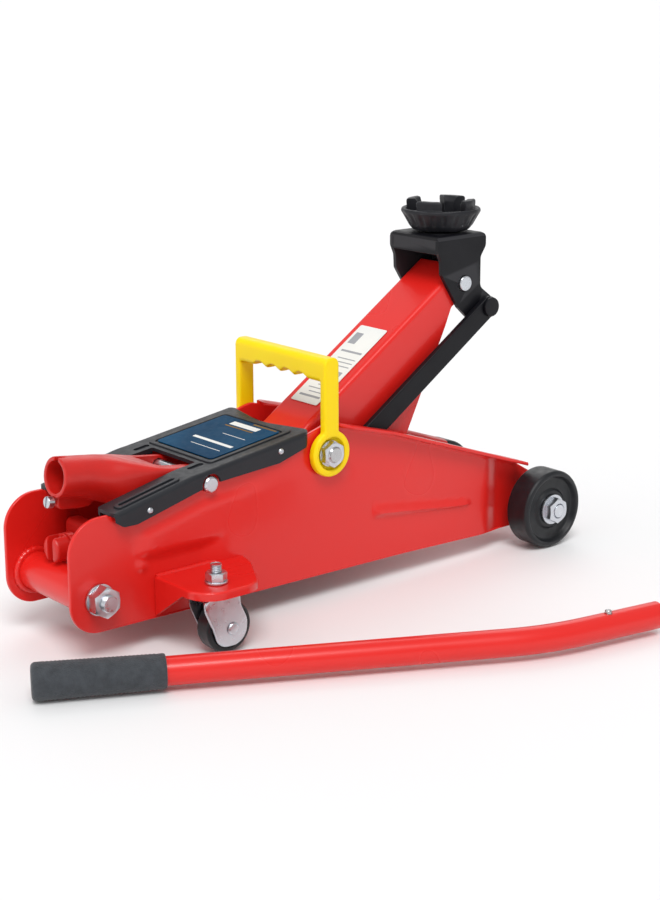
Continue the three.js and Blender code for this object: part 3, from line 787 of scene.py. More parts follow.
def side_plate():
    """A pressed sheet with a folded flange, and its mirror image."""
    corners = [
        (FRAME_REAR, 19.5, 22),
        (53, 17.4),
        (190, 13),
        (FRAME_FRONT, 13, 15),
        (FRAME_FRONT, 48, 12),
        (199, 66, 8),
        (59, 115.8),
        (0, 130.6, 14),
        (-17, 129 - UNDER_COVER),
        (-121, 114 - UNDER_COVER),
        (-183, 100.2 - UNDER_COVER, 1),
        (-184, 98.8, 1),
        (FRAME_REAR, 98.8, 24),
    ]
    holes = [
        ring(PIVOT_HOLE, PIVOT.x, PIVOT.z),
        ring(M12_HOLE, TIE.x, TIE.z),
        ring(M12_HOLE, AXLE.x, AXLE.z),
        ring(5.4, SOCKET_PIN.x, SOCKET_PIN.z),
    ]
    creases = [rib_band(0, 1), rib_band(0.15, 0.3)]
    plate = slab("y", corners, 0, SHEET, holes, edge=0.8, grid=2.4, step=1.6,
                 bend=lambda x, z: -pressed(x, z), creases=creases)
    join(plate, flange())
    place_pair(plate, "pressed_plate", RED, "root", "side_plate", crease=40)


side_plate()


TUBE_LOW, TUBE_HIGH = span("rear_cross_tube")
TUBE_RADIUS = (TUBE_HIGH.z - TUBE_LOW.z) / 2
M12, M12_BORE = 6, 6.05


def weld_bead(name, y):
    """A ring of overlapping weld ripples where the tube meets a plate."""
    random.seed(7)
    path = []
    for a in np.linspace(0, 2 * math.pi, 120, endpoint=False):
        ripple = 0.45 * abs(math.sin(a * 11)) + 0.25 * random.random()
        radius = TUBE_RADIUS + 0.6 + ripple
        path.append((TIE.x + radius * math.cos(a), y, TIE.z + radius * math.sin(a)))
    place(sweep(path, ring(2.3, sides=12), (0, 1, 0), loop=True), name, RED, "root")


def rear_tie():
    half = span("rear_cross_tube")[1].y
    tube = rod("y", TUBE_RADIUS, -half, half, (TIE.x, 0, TIE.z), edge=0.6, bore=M12_HOLE)
    place(tube, "tie_tube", RED, "root", "rear_cross_tube")
    for side, y in (("right", 0.6 - half), ("left", half - 0.6)):
        weld_bead(f"tie_weld_{side}", y)


rear_tie()


def threaded(axis, radius, low, high, at, pitch=1.5):
    """A plain shank whose ends are cut with thread grooves down to low and up from high."""
    tip, groove = radius - 0.9, radius - 0.75
    corners = [(0, low[0]), (tip, low[0])]
    for start, end in (low, high):
        for along in np.arange(start + 0.9, end, pitch):
            corners += [(groove, along), (radius, along + pitch / 2)]
        corners.append((radius, end))
    corners += [(tip, high[1]), (0, high[1])]
    return lathe(axis, corners, at=at)


def nut_on(axis, node, at, flats, tall, bore, washer_radius, washer_thick, facing=-1):
    """A nut and its washer, joined, seated where the CAD node is."""
    low, high = span(node)
    index = "xyz".index(axis)
    seat = low[index] if facing > 0 else high[index]
    faces = sorted((seat, seat + facing * washer_thick))
    under = rod(axis, washer_radius, *faces, at, edge=0.4, bore=bore)
    spot = Vector(at)
    spot[index] = seat + facing * (washer_thick - 0.05)
    return join(under, nut(axis, flats, tall, bore, at=spot, facing=facing))


def tie_fasteners():
    at = (TIE.x, 0, TIE.z)
    low, high = span("rear_tie_bolt")
    shank = threaded("y", M12, (low.y, low.y + 12), (high.y - 10, high.y - 9.9), at)
    head_tall = 7.5
    head = nut("y", 19, head_tall, 0.01, at=(TIE.x, high.y - head_tall, TIE.z))
    place(join(shank, head), "tie_bolt", ZINC, "root", "rear_tie_bolt")
    made = nut_on("y", "rear_tie_nut", at, 19, 9, M12_BORE, 10.9, 2)
    place(made, "tie_nut", ZINC, "root", "rear_tie_nut")


tie_fasteners()


def lift_pivot():
    at = (PIVOT.x, 0, PIVOT.z)
    low, high = span("lift_pivot_shaft")
    body = rod("y", 8, -48, 48, at, edge=0.6)
    ends = threaded("y", M12, (low.y, low.y + 9), (high.y - 9, high.y), at)
    place(join(body, ends), "pivot_shaft", STEEL, "root", "lift_pivot_shaft")
    made = nut_on("y", "lift_pivot_nut_right", at, 17, 5, M12_BORE, 9.6, 1.6)
    place_pair(made, "pivot_nut", ZINC, "root", "lift_pivot_nut")


lift_pivot()


def front_axle():
    at = (AXLE.x, 0, AXLE.z)
    low, high = span("front_axle")
    axle = threaded("y", M12, (low.y, low.y + 9), (high.y - 9, high.y), at)
    place(axle, "axle_rod", ZINC, "root", "front_axle")
    half = span("front_cross_tube")[1].y
    tube = rod("y", 10, -half, half, at, edge=0.5, bore=M12_HOLE)
    place(tube, "axle_tube", RED, "root", "front_cross_tube")
    low, high = span("axle_spacer_right")
    spacer = rod("y", 9, low.y, high.y, at, edge=0.5, bore=M12_HOLE)
    place_pair(spacer, "axle_bush", ZINC, "root", "axle_spacer")
    made = nut_on("y", "axle_nut_right", at, 18, 6, M12_BORE, 12, 1.8)
    place_pair(made, "wheel_nut", ZINC, "root", "axle_nut")


front_axle()


def front_wheel():
    """A moulded wheel with a rounded tread, a dished web and a hub."""
    low, high = span("front_wheel_right")
    radius = (high.z - low.z) / 2
    outer, inner = low.y, high.y
    bore, web, hub_face = 6.5, outer + 4.4, outer + 2.5
    profile = [
        (bore, inner),
        (12, inner, 1),
        (13.5, inner - 3, 1.5),
        (radius - 7, inner - 3, 2),
        (radius - 5, inner, 1.2),
        (radius, inner, 2.6),
        (radius, outer, 3.0),
        (radius - 4.2, outer, 1.0),
        (radius - 6.4, web, 2.0),
        (16.5, web, 1.5),
        (14.5, hub_face, 1.0),
        (bore, hub_face),
    ]
    wheel = lathe("y", profile, sides=96, at=(AXLE.x, 0, AXLE.z))
    place_pair(wheel, "road_wheel", WHEEL, ("front_wheel_right", "front_wheel_left"), "front_wheel")


front_wheel()


# ---- swivel casters ----


def caster_bracket():
    """A pressed shelf with a turned-down lip, welded to the side plate."""
    low, high = span("caster_bracket_right")
    root, nose, top = -(EAR + 0.6), low.y, high.z

    def plan(gap):
        return [
            (-149 + gap, root + gap),
            (-149 + gap, nose + gap, 20 - gap),
            (-103 - gap, nose + gap, 18 - gap),
            (-80 - gap, -60, 20),
            (-75 - gap, root + gap),
        ]

    shelf = slab("z", plan(0), 18, top, edge=1.6, step=1.0)
    hollow = slab("z", plan(SHEET), 0, top - SHEET, edge=0.6)
    side = [(root + 10, 21), (root, 21, 2), (-74, 43.2, 6), (nose - 5, 43.2), (nose - 5, 0), (root + 10, 0)]
    below = slab("x", side, -200, -50, edge=0.2)
    stud_hole = rod("z", 4.35, 0, 80, (CASTER.x, CASTER.y, 0))
    cut(shelf, hollow, below, stud_hole)
    bevel(shelf, 0.5)
    place_pair(shelf, "caster_shelf", RED, "root", "caster_bracket")
    random.seed(3)
    seam = np.linspace(-148, -77, 60)
    path = [(x, root - 0.4, top - 0.3 + 0.5 * random.random()) for x in seam]
    place_pair(sweep(path, ring(1.5, sides=10)), "shelf_weld", RED, "root")


caster_bracket()


def caster(side, sign):
    """A fork of sheet steel that trails a wheel on a rivet."""
    fork_body, wheel_body = f"caster_fork_{side}", f"caster_wheel_{side}"
    centre = (CASTER.x, sign * abs(CASTER.y), 0)
    axle = (CASTER_AXLE.x, sign * abs(CASTER_AXLE.y), CASTER_AXLE.z)
    trail = CASTER_AXLE.x - CASTER.x
    low_wheel, high_wheel = span(wheel_body)
    wheel_radius = (high_wheel.z - low_wheel.z) / 2
    wheel_half = (high_wheel.y - low_wheel.y) / 2
    sheet, top = 2.4, 42.6
    fork_half = wheel_half + 1 + sheet
    cheek = [
        (-17, top, 4),
        (-16, top - 9, 14),
        (trail - 15.5, wheel_radius + 2, 16),
        (trail - 11, wheel_radius - 12, 10),
        (trail + 11.5, wheel_radius - 13, 12),
        (trail + 13, wheel_radius + 4, 14),
        (13, top - 9, 12),
        (12.5, top, 4),
    ]
    fork = slab("y", cheek, -fork_half, fork_half, edge=1.4)
    gap = slab("y", oblong(-40, -5, 40, top - sheet), sheet - fork_half, fork_half - sheet, edge=0.8)
    cut(fork, gap, rod("y", 3.4, -20, 20, (trail, 0, wheel_radius)))
    bevel(fork, 0.35)
    race = lathe("z", [
        (0, top - 1),
        (11, top - 1, 0.6),
        (11, top + 1.2, 0.8),
        (9, top + 1.4, 0.2),
        (9, top + 3, 0.5),
        (0, top + 3),
    ])
    stud_top = span(fork_body)[1].z
    stud = threaded("z", 4, (top, top + 0.1), (49.5, stud_top), (0, 0, 0), pitch=1.25)
    join(fork, race, stud)
    place(fork, f"swivel_fork_{side}", ZINC, fork_body, fork_body, Matrix.Translation(centre))
    seat, nut_top = (corner.z for corner in span(f"caster_nut_{side}"))
    under = 1.6
    made = nut_on("z", f"caster_nut_{side}", centre, 13, nut_top - seat - under, 4.05, 8, under, facing=1)
    place(made, f"stud_nut_{side}", ZINC, "root", f"caster_nut_{side}")
    head, rim = fork_half + 1.8, fork_half + GAP
    rivet_end = [(3, rim), (5, rim, 0.3), (3.4, head, 1.0), (0, head)]
    rivet = [(radius, -along, *fillet) for radius, along, *fillet in rivet_end[::-1]] + rivet_end
    place(lathe("y", rivet, at=axle), f"wheel_rivet_{side}", ZINC, fork_body, f"caster_axle_{side}")
    flank = [
        (3.4, wheel_half),
        (wheel_radius - 6, wheel_half, 1),
        (wheel_radius - 5, wheel_half - 0.9, 0.6),
        (wheel_radius - 3.5, wheel_half, 1.0),
        (wheel_radius, wheel_half, 2.2),
    ]
    tread = [(radius, -along, *fillet) for radius, along, *fillet in flank] + flank[::-1]
    place(lathe("y", tread, sides=80, at=axle), f"swivel_wheel_{side}", WHEEL, wheel_body, wheel_body)


caster("right", -1)
caster("left", 1)

# ---- hydraulic unit ----


def power_unit():
    """The cast block under the cover, with bores for the ram, the pump and the valve."""
    front = TANK_LOW.x - GAP
    rear = front - 60
    low, high = span("power_unit_block")
    bottom, pump_x = low.z, PLUNGER.x
    side = [
        (rear, bottom, 6),
        (front, bottom + 4, 5),
        (front, 76, 4),
        (pump_x + 13, 76, 4),
        (pump_x + 13, 67, 1),
        (pump_x - 14, 67, 3),
        (pump_x - 16, 78, 3),
        (rear, 78, 4),
    ]
    block = slab("y", side, -32, 32, edge=1.5, step=2)
    lug = slab("y", oblong(front - 8, 49, front, 57), -38, 38, edge=1, step=2)
    foot = slab("y", oblong(rear + 6, bottom + 6, -152, 60, 3), low.y, high.y, edge=1, step=2)
    join(block, lug, foot)
    ram_bore = rod("x", 13, front - 25, front + 5, (0, 0, TANK.z))
    pump_bore = rod("z", 5.8, 33, 100, (pump_x, 0, 0))
    valve_bore = rod("x", 4.6, rear - 5, rear + 15, (0, VALVE.y, VALVE.z))
    cut(block, ram_bore, pump_bore, valve_bore)
    cast(block, 1.1, 3)
    place(block, "pump_casting", CAST_RED, "root", "power_unit_block")


power_unit()


def tank_and_ram():
    axis = (0, 0, TANK.z)
    low, high = TANK_LOW.x, TANK_HIGH.x
    tank = lathe("x", [(27, low), (30, low, 0.8), (30, high, 2.5), (27, high)], sides=96, at=axis)
    place(tank, "oil_tank", RED, "root", "reservoir_tube")
    inner = rod("x", 19, low, high, axis, edge=0.5, bore=12.4)
    place(inner, "ram_cylinder", STEEL, "root", "hydraulic_cylinder")
    low, high = span("tank_nut")
    gland = nut("x", 54, high.x - low.x, 12.4, chamfer=2.5, at=(low.x, 0, TANK.z))
    place(gland, "gland_nut", STEEL, "root", "tank_nut")
    low, high = span("ram_rod")
    place(rod("x", 12, low.x, high.x, axis, edge=1), "chromed_ram", STEEL, "ram", "ram_rod")


tank_and_ram()


def ram_head():
    low, high = span("ram_head")
    thick, pin_x = 14, high.x - 11
    plate = slab("x", oblong(-17, -14, 17, 19, 3), high.x - thick, high.x, edge=1.0)
    pin = rod("y", 3, low.y, high.y, (pin_x, 0, 0), edge=0.8)
    place(join(plate, pin), "push_head", STEEL, "ram", "ram_head", Matrix.Translation((0, 0, TANK.z)))
    for side in ("right", "left"):
        node = f"return_spring_{side}"
        low, high = span(node)
        spot = (0, (low.y + high.y) / 2, (low.z + high.z) / 2)
        shape = coil("x", 3.3, 0.65, low.x + 0.3, high.x - 0.3, 26, at=spot)
        place(shape, f"pull_spring_{side}", ZINC, None, node)
        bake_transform(shape)


ram_head()


def pump():
    low, high = span("pump_plunger")
    at = (PLUNGER.x, PLUNGER.y, 0)
    neck = high.z - 5
    outline = [(0, low.z), (5, low.z, 0.5), (5, neck), (8, neck, 0.6), (8, high.z, 1.5), (0, high.z)]
    place(lathe("z", outline, at=at), "plunger", STEEL, "pump_plunger", "pump_plunger")
    low, high = span("pump_spring")
    shape = coil("z", 6.7, 0.8, low.z, high.z, 4, at=at)
    place(shape, "plunger_spring", ZINC, None, "pump_spring")
    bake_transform(shape)


pump()


def release_valve():
    """A round head with a fork's slot and a waist, on a stem."""
    low, high = span("release_valve")
    rear, front = low.x, high.x
    at = (0, VALVE.y, VALVE.z)
    neck = rear + 18
    outline = [(0, rear), (9.5, rear, 2.5), (9.5, neck, 1.0), (4, neck, 0.5), (4, front, 0.5), (0, front)]
    body = lathe("x", outline, at=at)
    slot_side = [(rear - 2, -12), (rear + 10, -12, 3), (rear + 10, 12, 3), (rear - 2, 12)]
    slot = slab("y", slot_side, -3.2, 3.2, edge=0.4)
    groove = [(7.6, rear + 11.5), (20, rear + 10.5), (20, rear + 13.5), (7.6, rear + 12.5)]
    waist = lathe("x", groove, at=at)
    cut(body, shift(slot, y=VALVE.y, z=VALVE.z), waist)
    cast(body, 0.5, 3)
    place(body, "valve_fork", CAST_RED, "release_valve", "release_valve")


release_valve()

# ---- pump socket ----

SOCKET_TILT = math.radians(7.6)
SOCKET_PLACE = tilted(SOCKET_PIN.x, SOCKET_PIN.z, SOCKET_TILT)
MOUTH = -95


def loft(stations, sides=64):
    """Sections of (x, half width, top, bottom, squareness) joined along x; squareness 2 is an oval."""
    rings = []
    for x, half, top, bottom, squareness in stations:
        power = 2 / squareness
        points = []
        for a in np.linspace(0, 2 * math.pi, sides, endpoint=False):
            across = math.copysign(abs(math.cos(a)) ** power, math.cos(a))
            up = math.copysign(abs(math.sin(a)) ** power, math.sin(a))
            points.append((x, half * across, (top + bottom) / 2 + (top - bottom) / 2 * up))
        rings.append(points)
    return skin(rings)


def pump_socket():
    """A pipe that spreads into a flat yoke, with a rib for the lock screw below its mouth."""
    stations = []
    for x in np.linspace(MOUTH, 7.5, 60):
        spread = float(ease(x, -78, -20))
        belly = float(ease(x, -80, -50) * (1 - ease(x, -46, -18)))
        stations.append((
            x,
            14 + 10 * spread,
            14 - 6.3 * float(ease(x, -66, -14)),
            -14 + 6.3 * float(ease(x, -40, -8)) - 6 * belly,
            2 + 5 * float(ease(x, -62, -20)),
        ))
    body = loft(stations)
    rib_side = [(-70, -8), (-58, -20, 5), (-76, -22, 4), (MOUTH + 1, -22, 5), (MOUTH + 3, -11), (-80, -8)]
    join(body, slab("y", rib_side, -3, 3, edge=1))
    yoke_gap = slab("z", [(-24, -15, 4), (15, -15), (15, 15), (-24, 15, 4)], -30, 30, edge=0.2)
    notch_plan = [(MOUTH - 2, -2.2), (MOUTH + 7, -2.2, 2), (MOUTH + 7, 2.2, 2), (MOUTH - 2, 2.2)]
    notch = slab("z", notch_plan, 8, 20, edge=0.2)
    reach = slab("y", oblong(-2, -30, 30, 30), -35, 35, edge=0.2)
    rounder = cut(reach, rod("y", 8, -40, 40))
    cut(body, rod("x", 11, MOUTH - 5, -50), yoke_gap, notch, rounder, rod("y", 5.4, -40, 40))
    cast(body, 0.75, 3)
    place(body, "bar_socket", CAST_RED, "handle_socket", "handle_socket", SOCKET_PLACE)


def lock_screw():
    """A slotted screw that holds the bar in the socket."""
    tip, under, back = MOUTH - 5, MOUTH - GAP, MOUTH - 0.3
    head = lathe("x", [(0, tip), (4, tip, 0.9), (4, under, 0.2), (2, under), (2, back), (0, back)])
    slot = slab("x", oblong(-0.7, -6, 0.7, 6), MOUTH - 7, MOUTH - 4, edge=0.1)
    cut(head, slot)
    place(shift(head, z=-17), "lock_screw", ZINC, "handle_socket", "socket_lock_screw", SOCKET_PLACE)


def socket_pin():
    """A cross pin with a groove for its clip."""
    low, high = span("socket_pivot_pin")
    outline = [
        (0, low.y),
        (4.6, low.y, 1.0),
        (5.8, low.y + 1.2, 0.4),
        (5.8, low.y + 2.4, 0.4),
        (5, low.y + 2.6),
        (5, high.y, 0.8),
        (0, high.y),
    ]
    pin = lathe("y", outline, at=(SOCKET_PIN.x, 0, SOCKET_PIN.z))
    place(pin, "socket_pin", ZINC, "root", "socket_pivot_pin")


pump_socket()
lock_screw()
socket_pin()


# ---- plastic cover ----

COVER_FRONT = -12
FRONT_SLOPE = (COVER_LINE[2][1] - COVER_LINE[1][1]) / (COVER_LINE[2][0] - COVER_LINE[1][0])
FRONT_TILT = math.atan(FRONT_SLOPE)
REAR_TILT = math.atan2(COVER_LINE[1][1] - COVER_LINE[0][1], COVER_LINE[1][0] - COVER_LINE[0][0])


def cover_top(x):
    """Height of the cover's top surface, with its knee rounded off."""
    knee = COVER_LINE[1][0]
    front = COVER_LINE[1][1] + FRONT_SLOPE * (x - knee)
    rear = COVER_LINE[1][1] + math.tan(REAR_TILT) * (x - knee)
    reach = 10
    if abs(x - knee) > reach:
        return front if x > knee else rear
    share = (x - knee + reach) / (2 * reach)
    return rear + (front - rear) * share * share * (1 - share) + (front - rear) * share ** 3


COVER_REAR = COVER_LINE[0][0]
SLOT_HALF = 26
SLOT_FRONT = SOCKET_PIN.x + 2.8
SKIRT = [
    (COVER_REAR, 95, 2),
    (-176, 90.5, 6),
    (-165, 90.5, 4),
    (-113, 103.8),
    (-95, 107),
    (-45, 110.5, 8),
    (-20, 118, 3),
    (-11, 134),
    (-11, 180),
    (COVER_REAR, 180),
]
PANEL_MIDDLE = middle("cover_label").x
PANEL_PLACE = tilted(PANEL_MIDDLE, cover_top(PANEL_MIDDLE), -FRONT_TILT)


def cover_shell():
    """A channel section carried along the top line, cut to its plan and its skirts' lower edge."""
    corner, foot = 3.4, -34
    section = rounded([
        (-COVER_HALF, foot),
        (-SKIRT_HALF, foot),
        (-SKIRT_HALF, -COVER_SHEET, corner - 1.6),
        (SKIRT_HALF, -COVER_SHEET, corner - 1.6),
        (SKIRT_HALF, foot),
        (COVER_HALF, foot),
        (COVER_HALF, 0, corner),
        (-COVER_HALF, 0, corner),
    ])
    stations = np.linspace(COVER_REAR, COVER_FRONT, 60)
    shell = skin([[(x, p.x, cover_top(x) + p.y) for p in section] for x in stations])
    side, rear = COVER_HALF + 0.5, COVER_REAR + 0.3
    plan = [
        (rear, -side, 6),
        (-14, -side, 8),
        (-17, -36, 10),
        (-24.5, 0, 60),
        (-17, 36, 10),
        (-14, side, 8),
        (rear, side, 6),
        (rear, SLOT_HALF, 2),
        (SLOT_FRONT, SLOT_HALF, 1.5),
        (SLOT_FRONT, -SLOT_HALF, 1.5),
        (rear, -SLOT_HALF, 2),
    ]
    pin_arch = rod("y", 7.7, -60, 60, SOCKET_PIN)
    common(shell, slab("z", plan, 60, 160, edge=0.1), slab("y", SKIRT, -60, 60, edge=0.1))
    return bevel(cut(shell, pin_arch), 0.45, angle=50)


def slot_walls():
    """The turned-down edges along the slot, which stop short of the socket's pin."""
    drop, clear = 8, 112.3
    rear = COVER_REAR + 1
    side = [
        (rear, cover_top(rear) - 1),
        (rear, cover_top(rear) - drop, 3),
        (-116, cover_top(-116) - drop, 3),
        (-112.5, clear, 1),
        (SLOT_FRONT, clear),
        (SLOT_FRONT, 115),
        (-121, 113),
    ]
    wall = slab("y", side, SLOT_HALF, SLOT_HALF + 2.2, edge=0.3)
    return [wall, copy(wall, MIRROR)]


def cover_ribs():
    """Long raised ribs along the two rear rails, and the frame round the label."""
    start, end = COVER_REAR + 6, -126
    x = (start + end) / 2
    half = (end - start) / 2 / math.cos(REAR_TILT)
    groove = rounded(oblong(3 - half, -1.6, half - 3, 1.6, 1.4))
    ribs = []
    for side_y in (-39.5, 39.5):
        rib = slab("z", oblong(-half, -4.5, half, 4.5, 3), -1.2, 1.2, [groove], edge=0.6, step=0.8)
        ribs.append(move(shift(rib, y=side_y), tilted(x, cover_top(x), -REAR_TILT)))
    outer = [
        (-36, -38, 4),
        (40, -38, 6),
        (37.5, -20, 20),
        (35, 0, 60),
        (37.5, 20, 20),
        (40, 38, 6),
        (-36, 38, 4),
    ]
    window = rounded(oblong(-32.4, -34.4, 32.4, 34.4, 3))
    ribs.append(move(slab("z", outer, -1.2, 1.0, [window], edge=0.7), PANEL_PLACE))
    return ribs


def top_cover():
    cover = join(cover_shell(), *slot_walls(), *cover_ribs())
    for side in (-1, 1):
        pocket = slab("z", oblong(-51, -2.4, -38, 2.4, 2.2), -1.2, 4, edge=0.2)
        cut(cover, move(shift(pocket, y=32.5 * side), PANEL_PLACE))
    place(cover, "moulded_cover", COVER, "root", "top_cover", crease=30)


def cover_screws():
    """Cross-head screws through the skirts."""
    skirt = -COVER_HALF
    outline = [
        (0, skirt - 1),
        (1.6, skirt - 1, 0.6),
        (2.3, skirt + 0.2, 0.2),
        (2.3, skirt + 1, 0.2),
        (0, skirt + 1),
    ]
    arm, half_width = 1.5, 0.3
    for name, x, z in (("rear", -155, 98), ("front", -43.6, 118.9)):
        screw = lathe("y", outline, sides=40, at=(x, 0, z))
        for across, up in ((arm, half_width), (half_width, arm)):
            groove = slab("y", oblong(-across, -up, across, up), -60, skirt - 0.5, edge=0.05)
            cut(screw, shift(groove, x=x, z=z))
        place_pair(screw, f"cover_screw_{name}", ZINC, "root")


def cover_label():
    """Blue film with plain bars and no lettering."""
    film = slab("z", oblong(-31, -33, 31, 33, 3), GAP, 1.15, edge=0.3)
    place(film, "label_film", BLUE, "root", "cover_label", PANEL_PLACE)
    bars = [
        ("label_bar", PALE, (-10.5, -7.5), (-28, 17)),
        ("label_block", PALE, (20.5, 26.0), (-17, 14)),
        ("label_line", AMBER_INK, (17.2, 18.6), (-17, 15)),
        ("label_strip", AMBER_INK, (28.4, 30.2), (-30, -4)),
        ("label_print_1", PALE, (5.4, 6.0), (-24, 2)),
        ("label_print_2", PALE, (-18.6, -18.0), (-26, 8)),
    ]
    for name, ink, (x0, x1), (y0, y1) in bars:
        bar = slab("z", oblong(x0, y0, x1, y1, 0.25), 1.1, 1.22, edge=0.05)
        place(bar, name, ink, "root", (), PANEL_PLACE)


top_cover()
cover_screws()
cover_label()

# ---- lift arm ----

ARM_PLACE = tilted(PIVOT.x, PIVOT.z, -ARM_ANGLE)
ARM_TOP, ARM_SHEET = 12, 4
ARM_HALF = 23.5
LUG = ARM_PLACE.inverted() @ ROLLER


def channel(half, low, high, sheet, corner, start, end):
    """A folded channel open below, lying along x."""
    section = [
        (-half, low),
        (-half + sheet, low),
        (-half + sheet, high - sheet, corner - sheet * 0.6),
        (half - sheet, high - sheet, corner - sheet * 0.6),
        (half - sheet, low),
        (half, low),
        (half, high, corner),
        (-half, high, corner),
    ]
    return slab("x", section, start, end, edge=0.1, step=0.8)


def lift_arm():
    side = [
        (-13, ARM_TOP + 1, 12),
        (ARM_LENGTH + 11, ARM_TOP + 1, 9),
        (ARM_LENGTH + 11, -12, 10),
        (ARM_LENGTH - 18, -9, 5),
        (153, -18, 8),
        (79, -60, 12),
        (20, -74, 16),
        (LUG.x + 3, -72, 10),
        (LUG.x - 12, LUG.z - 2, 8),
        (LUG.x - 9, LUG.z + 18, 12),
        (-16, -20, 20),
    ]
    body = channel(ARM_HALF, -100, ARM_TOP, ARM_SHEET, 4.2, -60, 250)
    common(body, slab("y", side, -40, 40, edge=0.1))
    for radius, spot in ((PIVOT_HOLE, (0, 0, 0)), (M12_HOLE, (ARM_LENGTH, 0, 0)), (PIN_HOLE, LUG)):
        cut(body, rod("y", radius, -40, 40, spot))
    bevel(body, 0.6, angle=50)
    place(body, "folded_arm", RED, "lift_arm", "lift_arm", ARM_PLACE)


def arm_label():
    """A pale film with plain bars across and along the arm, and no lettering."""
    film = slab("z", oblong(28, -15, 112, 15, 1.5), ARM_TOP + GAP, ARM_TOP + 0.9, edge=0.2)
    place(film, "arm_film", PALE, "lift_arm", "arm_label", ARM_PLACE)

    def text(at, until, thick=1):
        return (at, -12, at + thick, until)

    prints = [
        text(34, 11, thick=2),
        text(39, 5),
        text(43, 9),
        text(47, 2),
        (55, -11, 63, -3),
        (55, 1, 63, 9),
        text(68, 10),
        text(72, 4),
        text(76, 8),
        text(83, 11, thick=2),
        (92, 4, 104, 12),
    ]
    for i, (x0, y0, x1, y1) in enumerate(prints):
        bar = slab("z", oblong(x0, y0, x1, y1, 0.3), ARM_TOP + 0.85, ARM_TOP + 0.95, edge=0.04)
        place(bar, f"arm_print_{i + 1}", GREY_INK, "lift_arm", (), ARM_PLACE)


lift_arm()
arm_label()


def arm_roller():
    low, high = span("arm_roller")
    at = (ROLLER.x, 0, ROLLER.z)
    wheel = rod("y", (high.z - low.z) / 2, low.y, high.y, at, edge=1.2, bore=PIN_HOLE)
    place(wheel, "push_roller", STEEL, "arm_roller", "arm_roller")
    low, high = span("arm_roller_pin")
    neck = low.y + 2.1
    outline = [(0, low.y), (6, low.y, 0.8), (6, neck, 0.3), (4, neck), (4, high.y, 0.8), (0, high.y)]
    place(lathe("y", outline, at=at), "roller_pin", STEEL, "lift_arm", "arm_roller_pin")


arm_roller()

# ---- saddle bracket, links and saddle ----

BRACKET_PLACE = Matrix.Translation((TIP.x, 0, TIP.z))
BRACKET_HIGH = span("saddle_bracket")[1]
BRACKET_HALF = BRACKET_HIGH.y
BRACKET_TOP = BRACKET_HIGH.z - TIP.z
BRACKET_SHEET = 3.1
LINK_PIN = (22, 0, -20)


def saddle_bracket():
    """A folded cap: two cheeks, a web across the front and a lip turned down at the rear."""
    top, half = BRACKET_TOP, BRACKET_HALF
    under, inner = top - BRACKET_SHEET, half - BRACKET_SHEET
    cheek = [
        (-28, top, 5),
        (-28, 26.5, 6),
        (-24.6, 19, 6),
        (-24, 8.5, 4),
        (-6.5, -18, 5),
        (8, -31, 7),
        (31, -31, 10),
        (30, -14, 8),
        (17, -4.5, 6),
        (17, 19, 6),
        (22.5, 27, 6),
        (22.5, top, 5),
    ]
    fold_section = [(-half, -60), (half, -60), (half, top, 3.6), (-half, top, 3.6)]
    fold = slab("x", fold_section, -60, 60, edge=0.1, step=0.8)
    body = common(slab("y", cheek, -half, half, edge=0.1), fold)
    behind_web = slab("y", oblong(-60, -60, 14, under), -inner, inner, edge=0.1)
    below_web = slab("y", oblong(10, -60, 60, -7), -inner, inner, edge=0.1)
    cut(body, behind_web, below_web)
    lip_side = [(-27.6, 24, 1), (-25, 24, 1), (-25, top - 1), (-27.6, top - 1)]
    join(body, slab("y", lip_side, -inner - 1, inner + 1, edge=0.3))
    stem_hole = rod("z", 8.4, 20, 60)
    cut(body, rod("y", M12_HOLE, -40, 40), rod("y", PIN_HOLE, -40, 40, LINK_PIN), stem_hole)
    bevel(body, 0.7, angle=50)
    place(body, "folded_bracket", BLACK, "saddle_bracket", "saddle_bracket", BRACKET_PLACE)


def bracket_pins():
    """The pin at the arm's tip, and the two headed pins that hold the links."""
    low, high = span("saddle_pin")
    pin = rod("y", 6, low.y, high.y, edge=1.2)
    place(pin, "tip_pin", ZINC, "saddle_bracket", "saddle_pin", BRACKET_PLACE)
    low, high = span("link_pin_right")
    outer, inner = -33.7, -23.75
    outline = [
        (0, low.y),
        (7.5, low.y, 0.8),
        (7.5, outer, 0.4),
        (4, outer),
        (4, inner),
        (7, inner, 0.4),
        (7, high.y, 0.8),
        (0, high.y),
    ]
    pin = lathe("y", outline, at=LINK_PIN)
    place_pair(pin, "cross_pin", BLACK, "saddle_bracket", "link_pin", BRACKET_PLACE)


saddle_bracket()
bracket_pins()


def link():
    low, high = span("link_right")
    half = 8
    outline = oblong(-half, -half, ARM_LENGTH + half, half, half - 0.01)
    holes = [ring(5.35), ring(4.5, ARM_LENGTH)]
    flat = slab("y", outline, low.y, high.y, holes, edge=0.9)
    matrix = tilted(LINK_LOW.x, LINK_LOW.z, -ARM_ANGLE)
    place_pair(flat, "levelling_link", BLACK, ("link_right", "link_left"), "link", matrix)
    low, high = span("link_stud_right")
    step = -27.6
    boss = [(0, low.y), (5, low.y, 0.3), (5, step), (8, step, 0.5), (8, high.y, 1.2), (0, high.y)]
    stud = lathe("y", boss, at=(LINK_LOW.x, 0, LINK_LOW.z))
    place_pair(stud, "link_boss", BLACK, "root", "link_stud")


link()


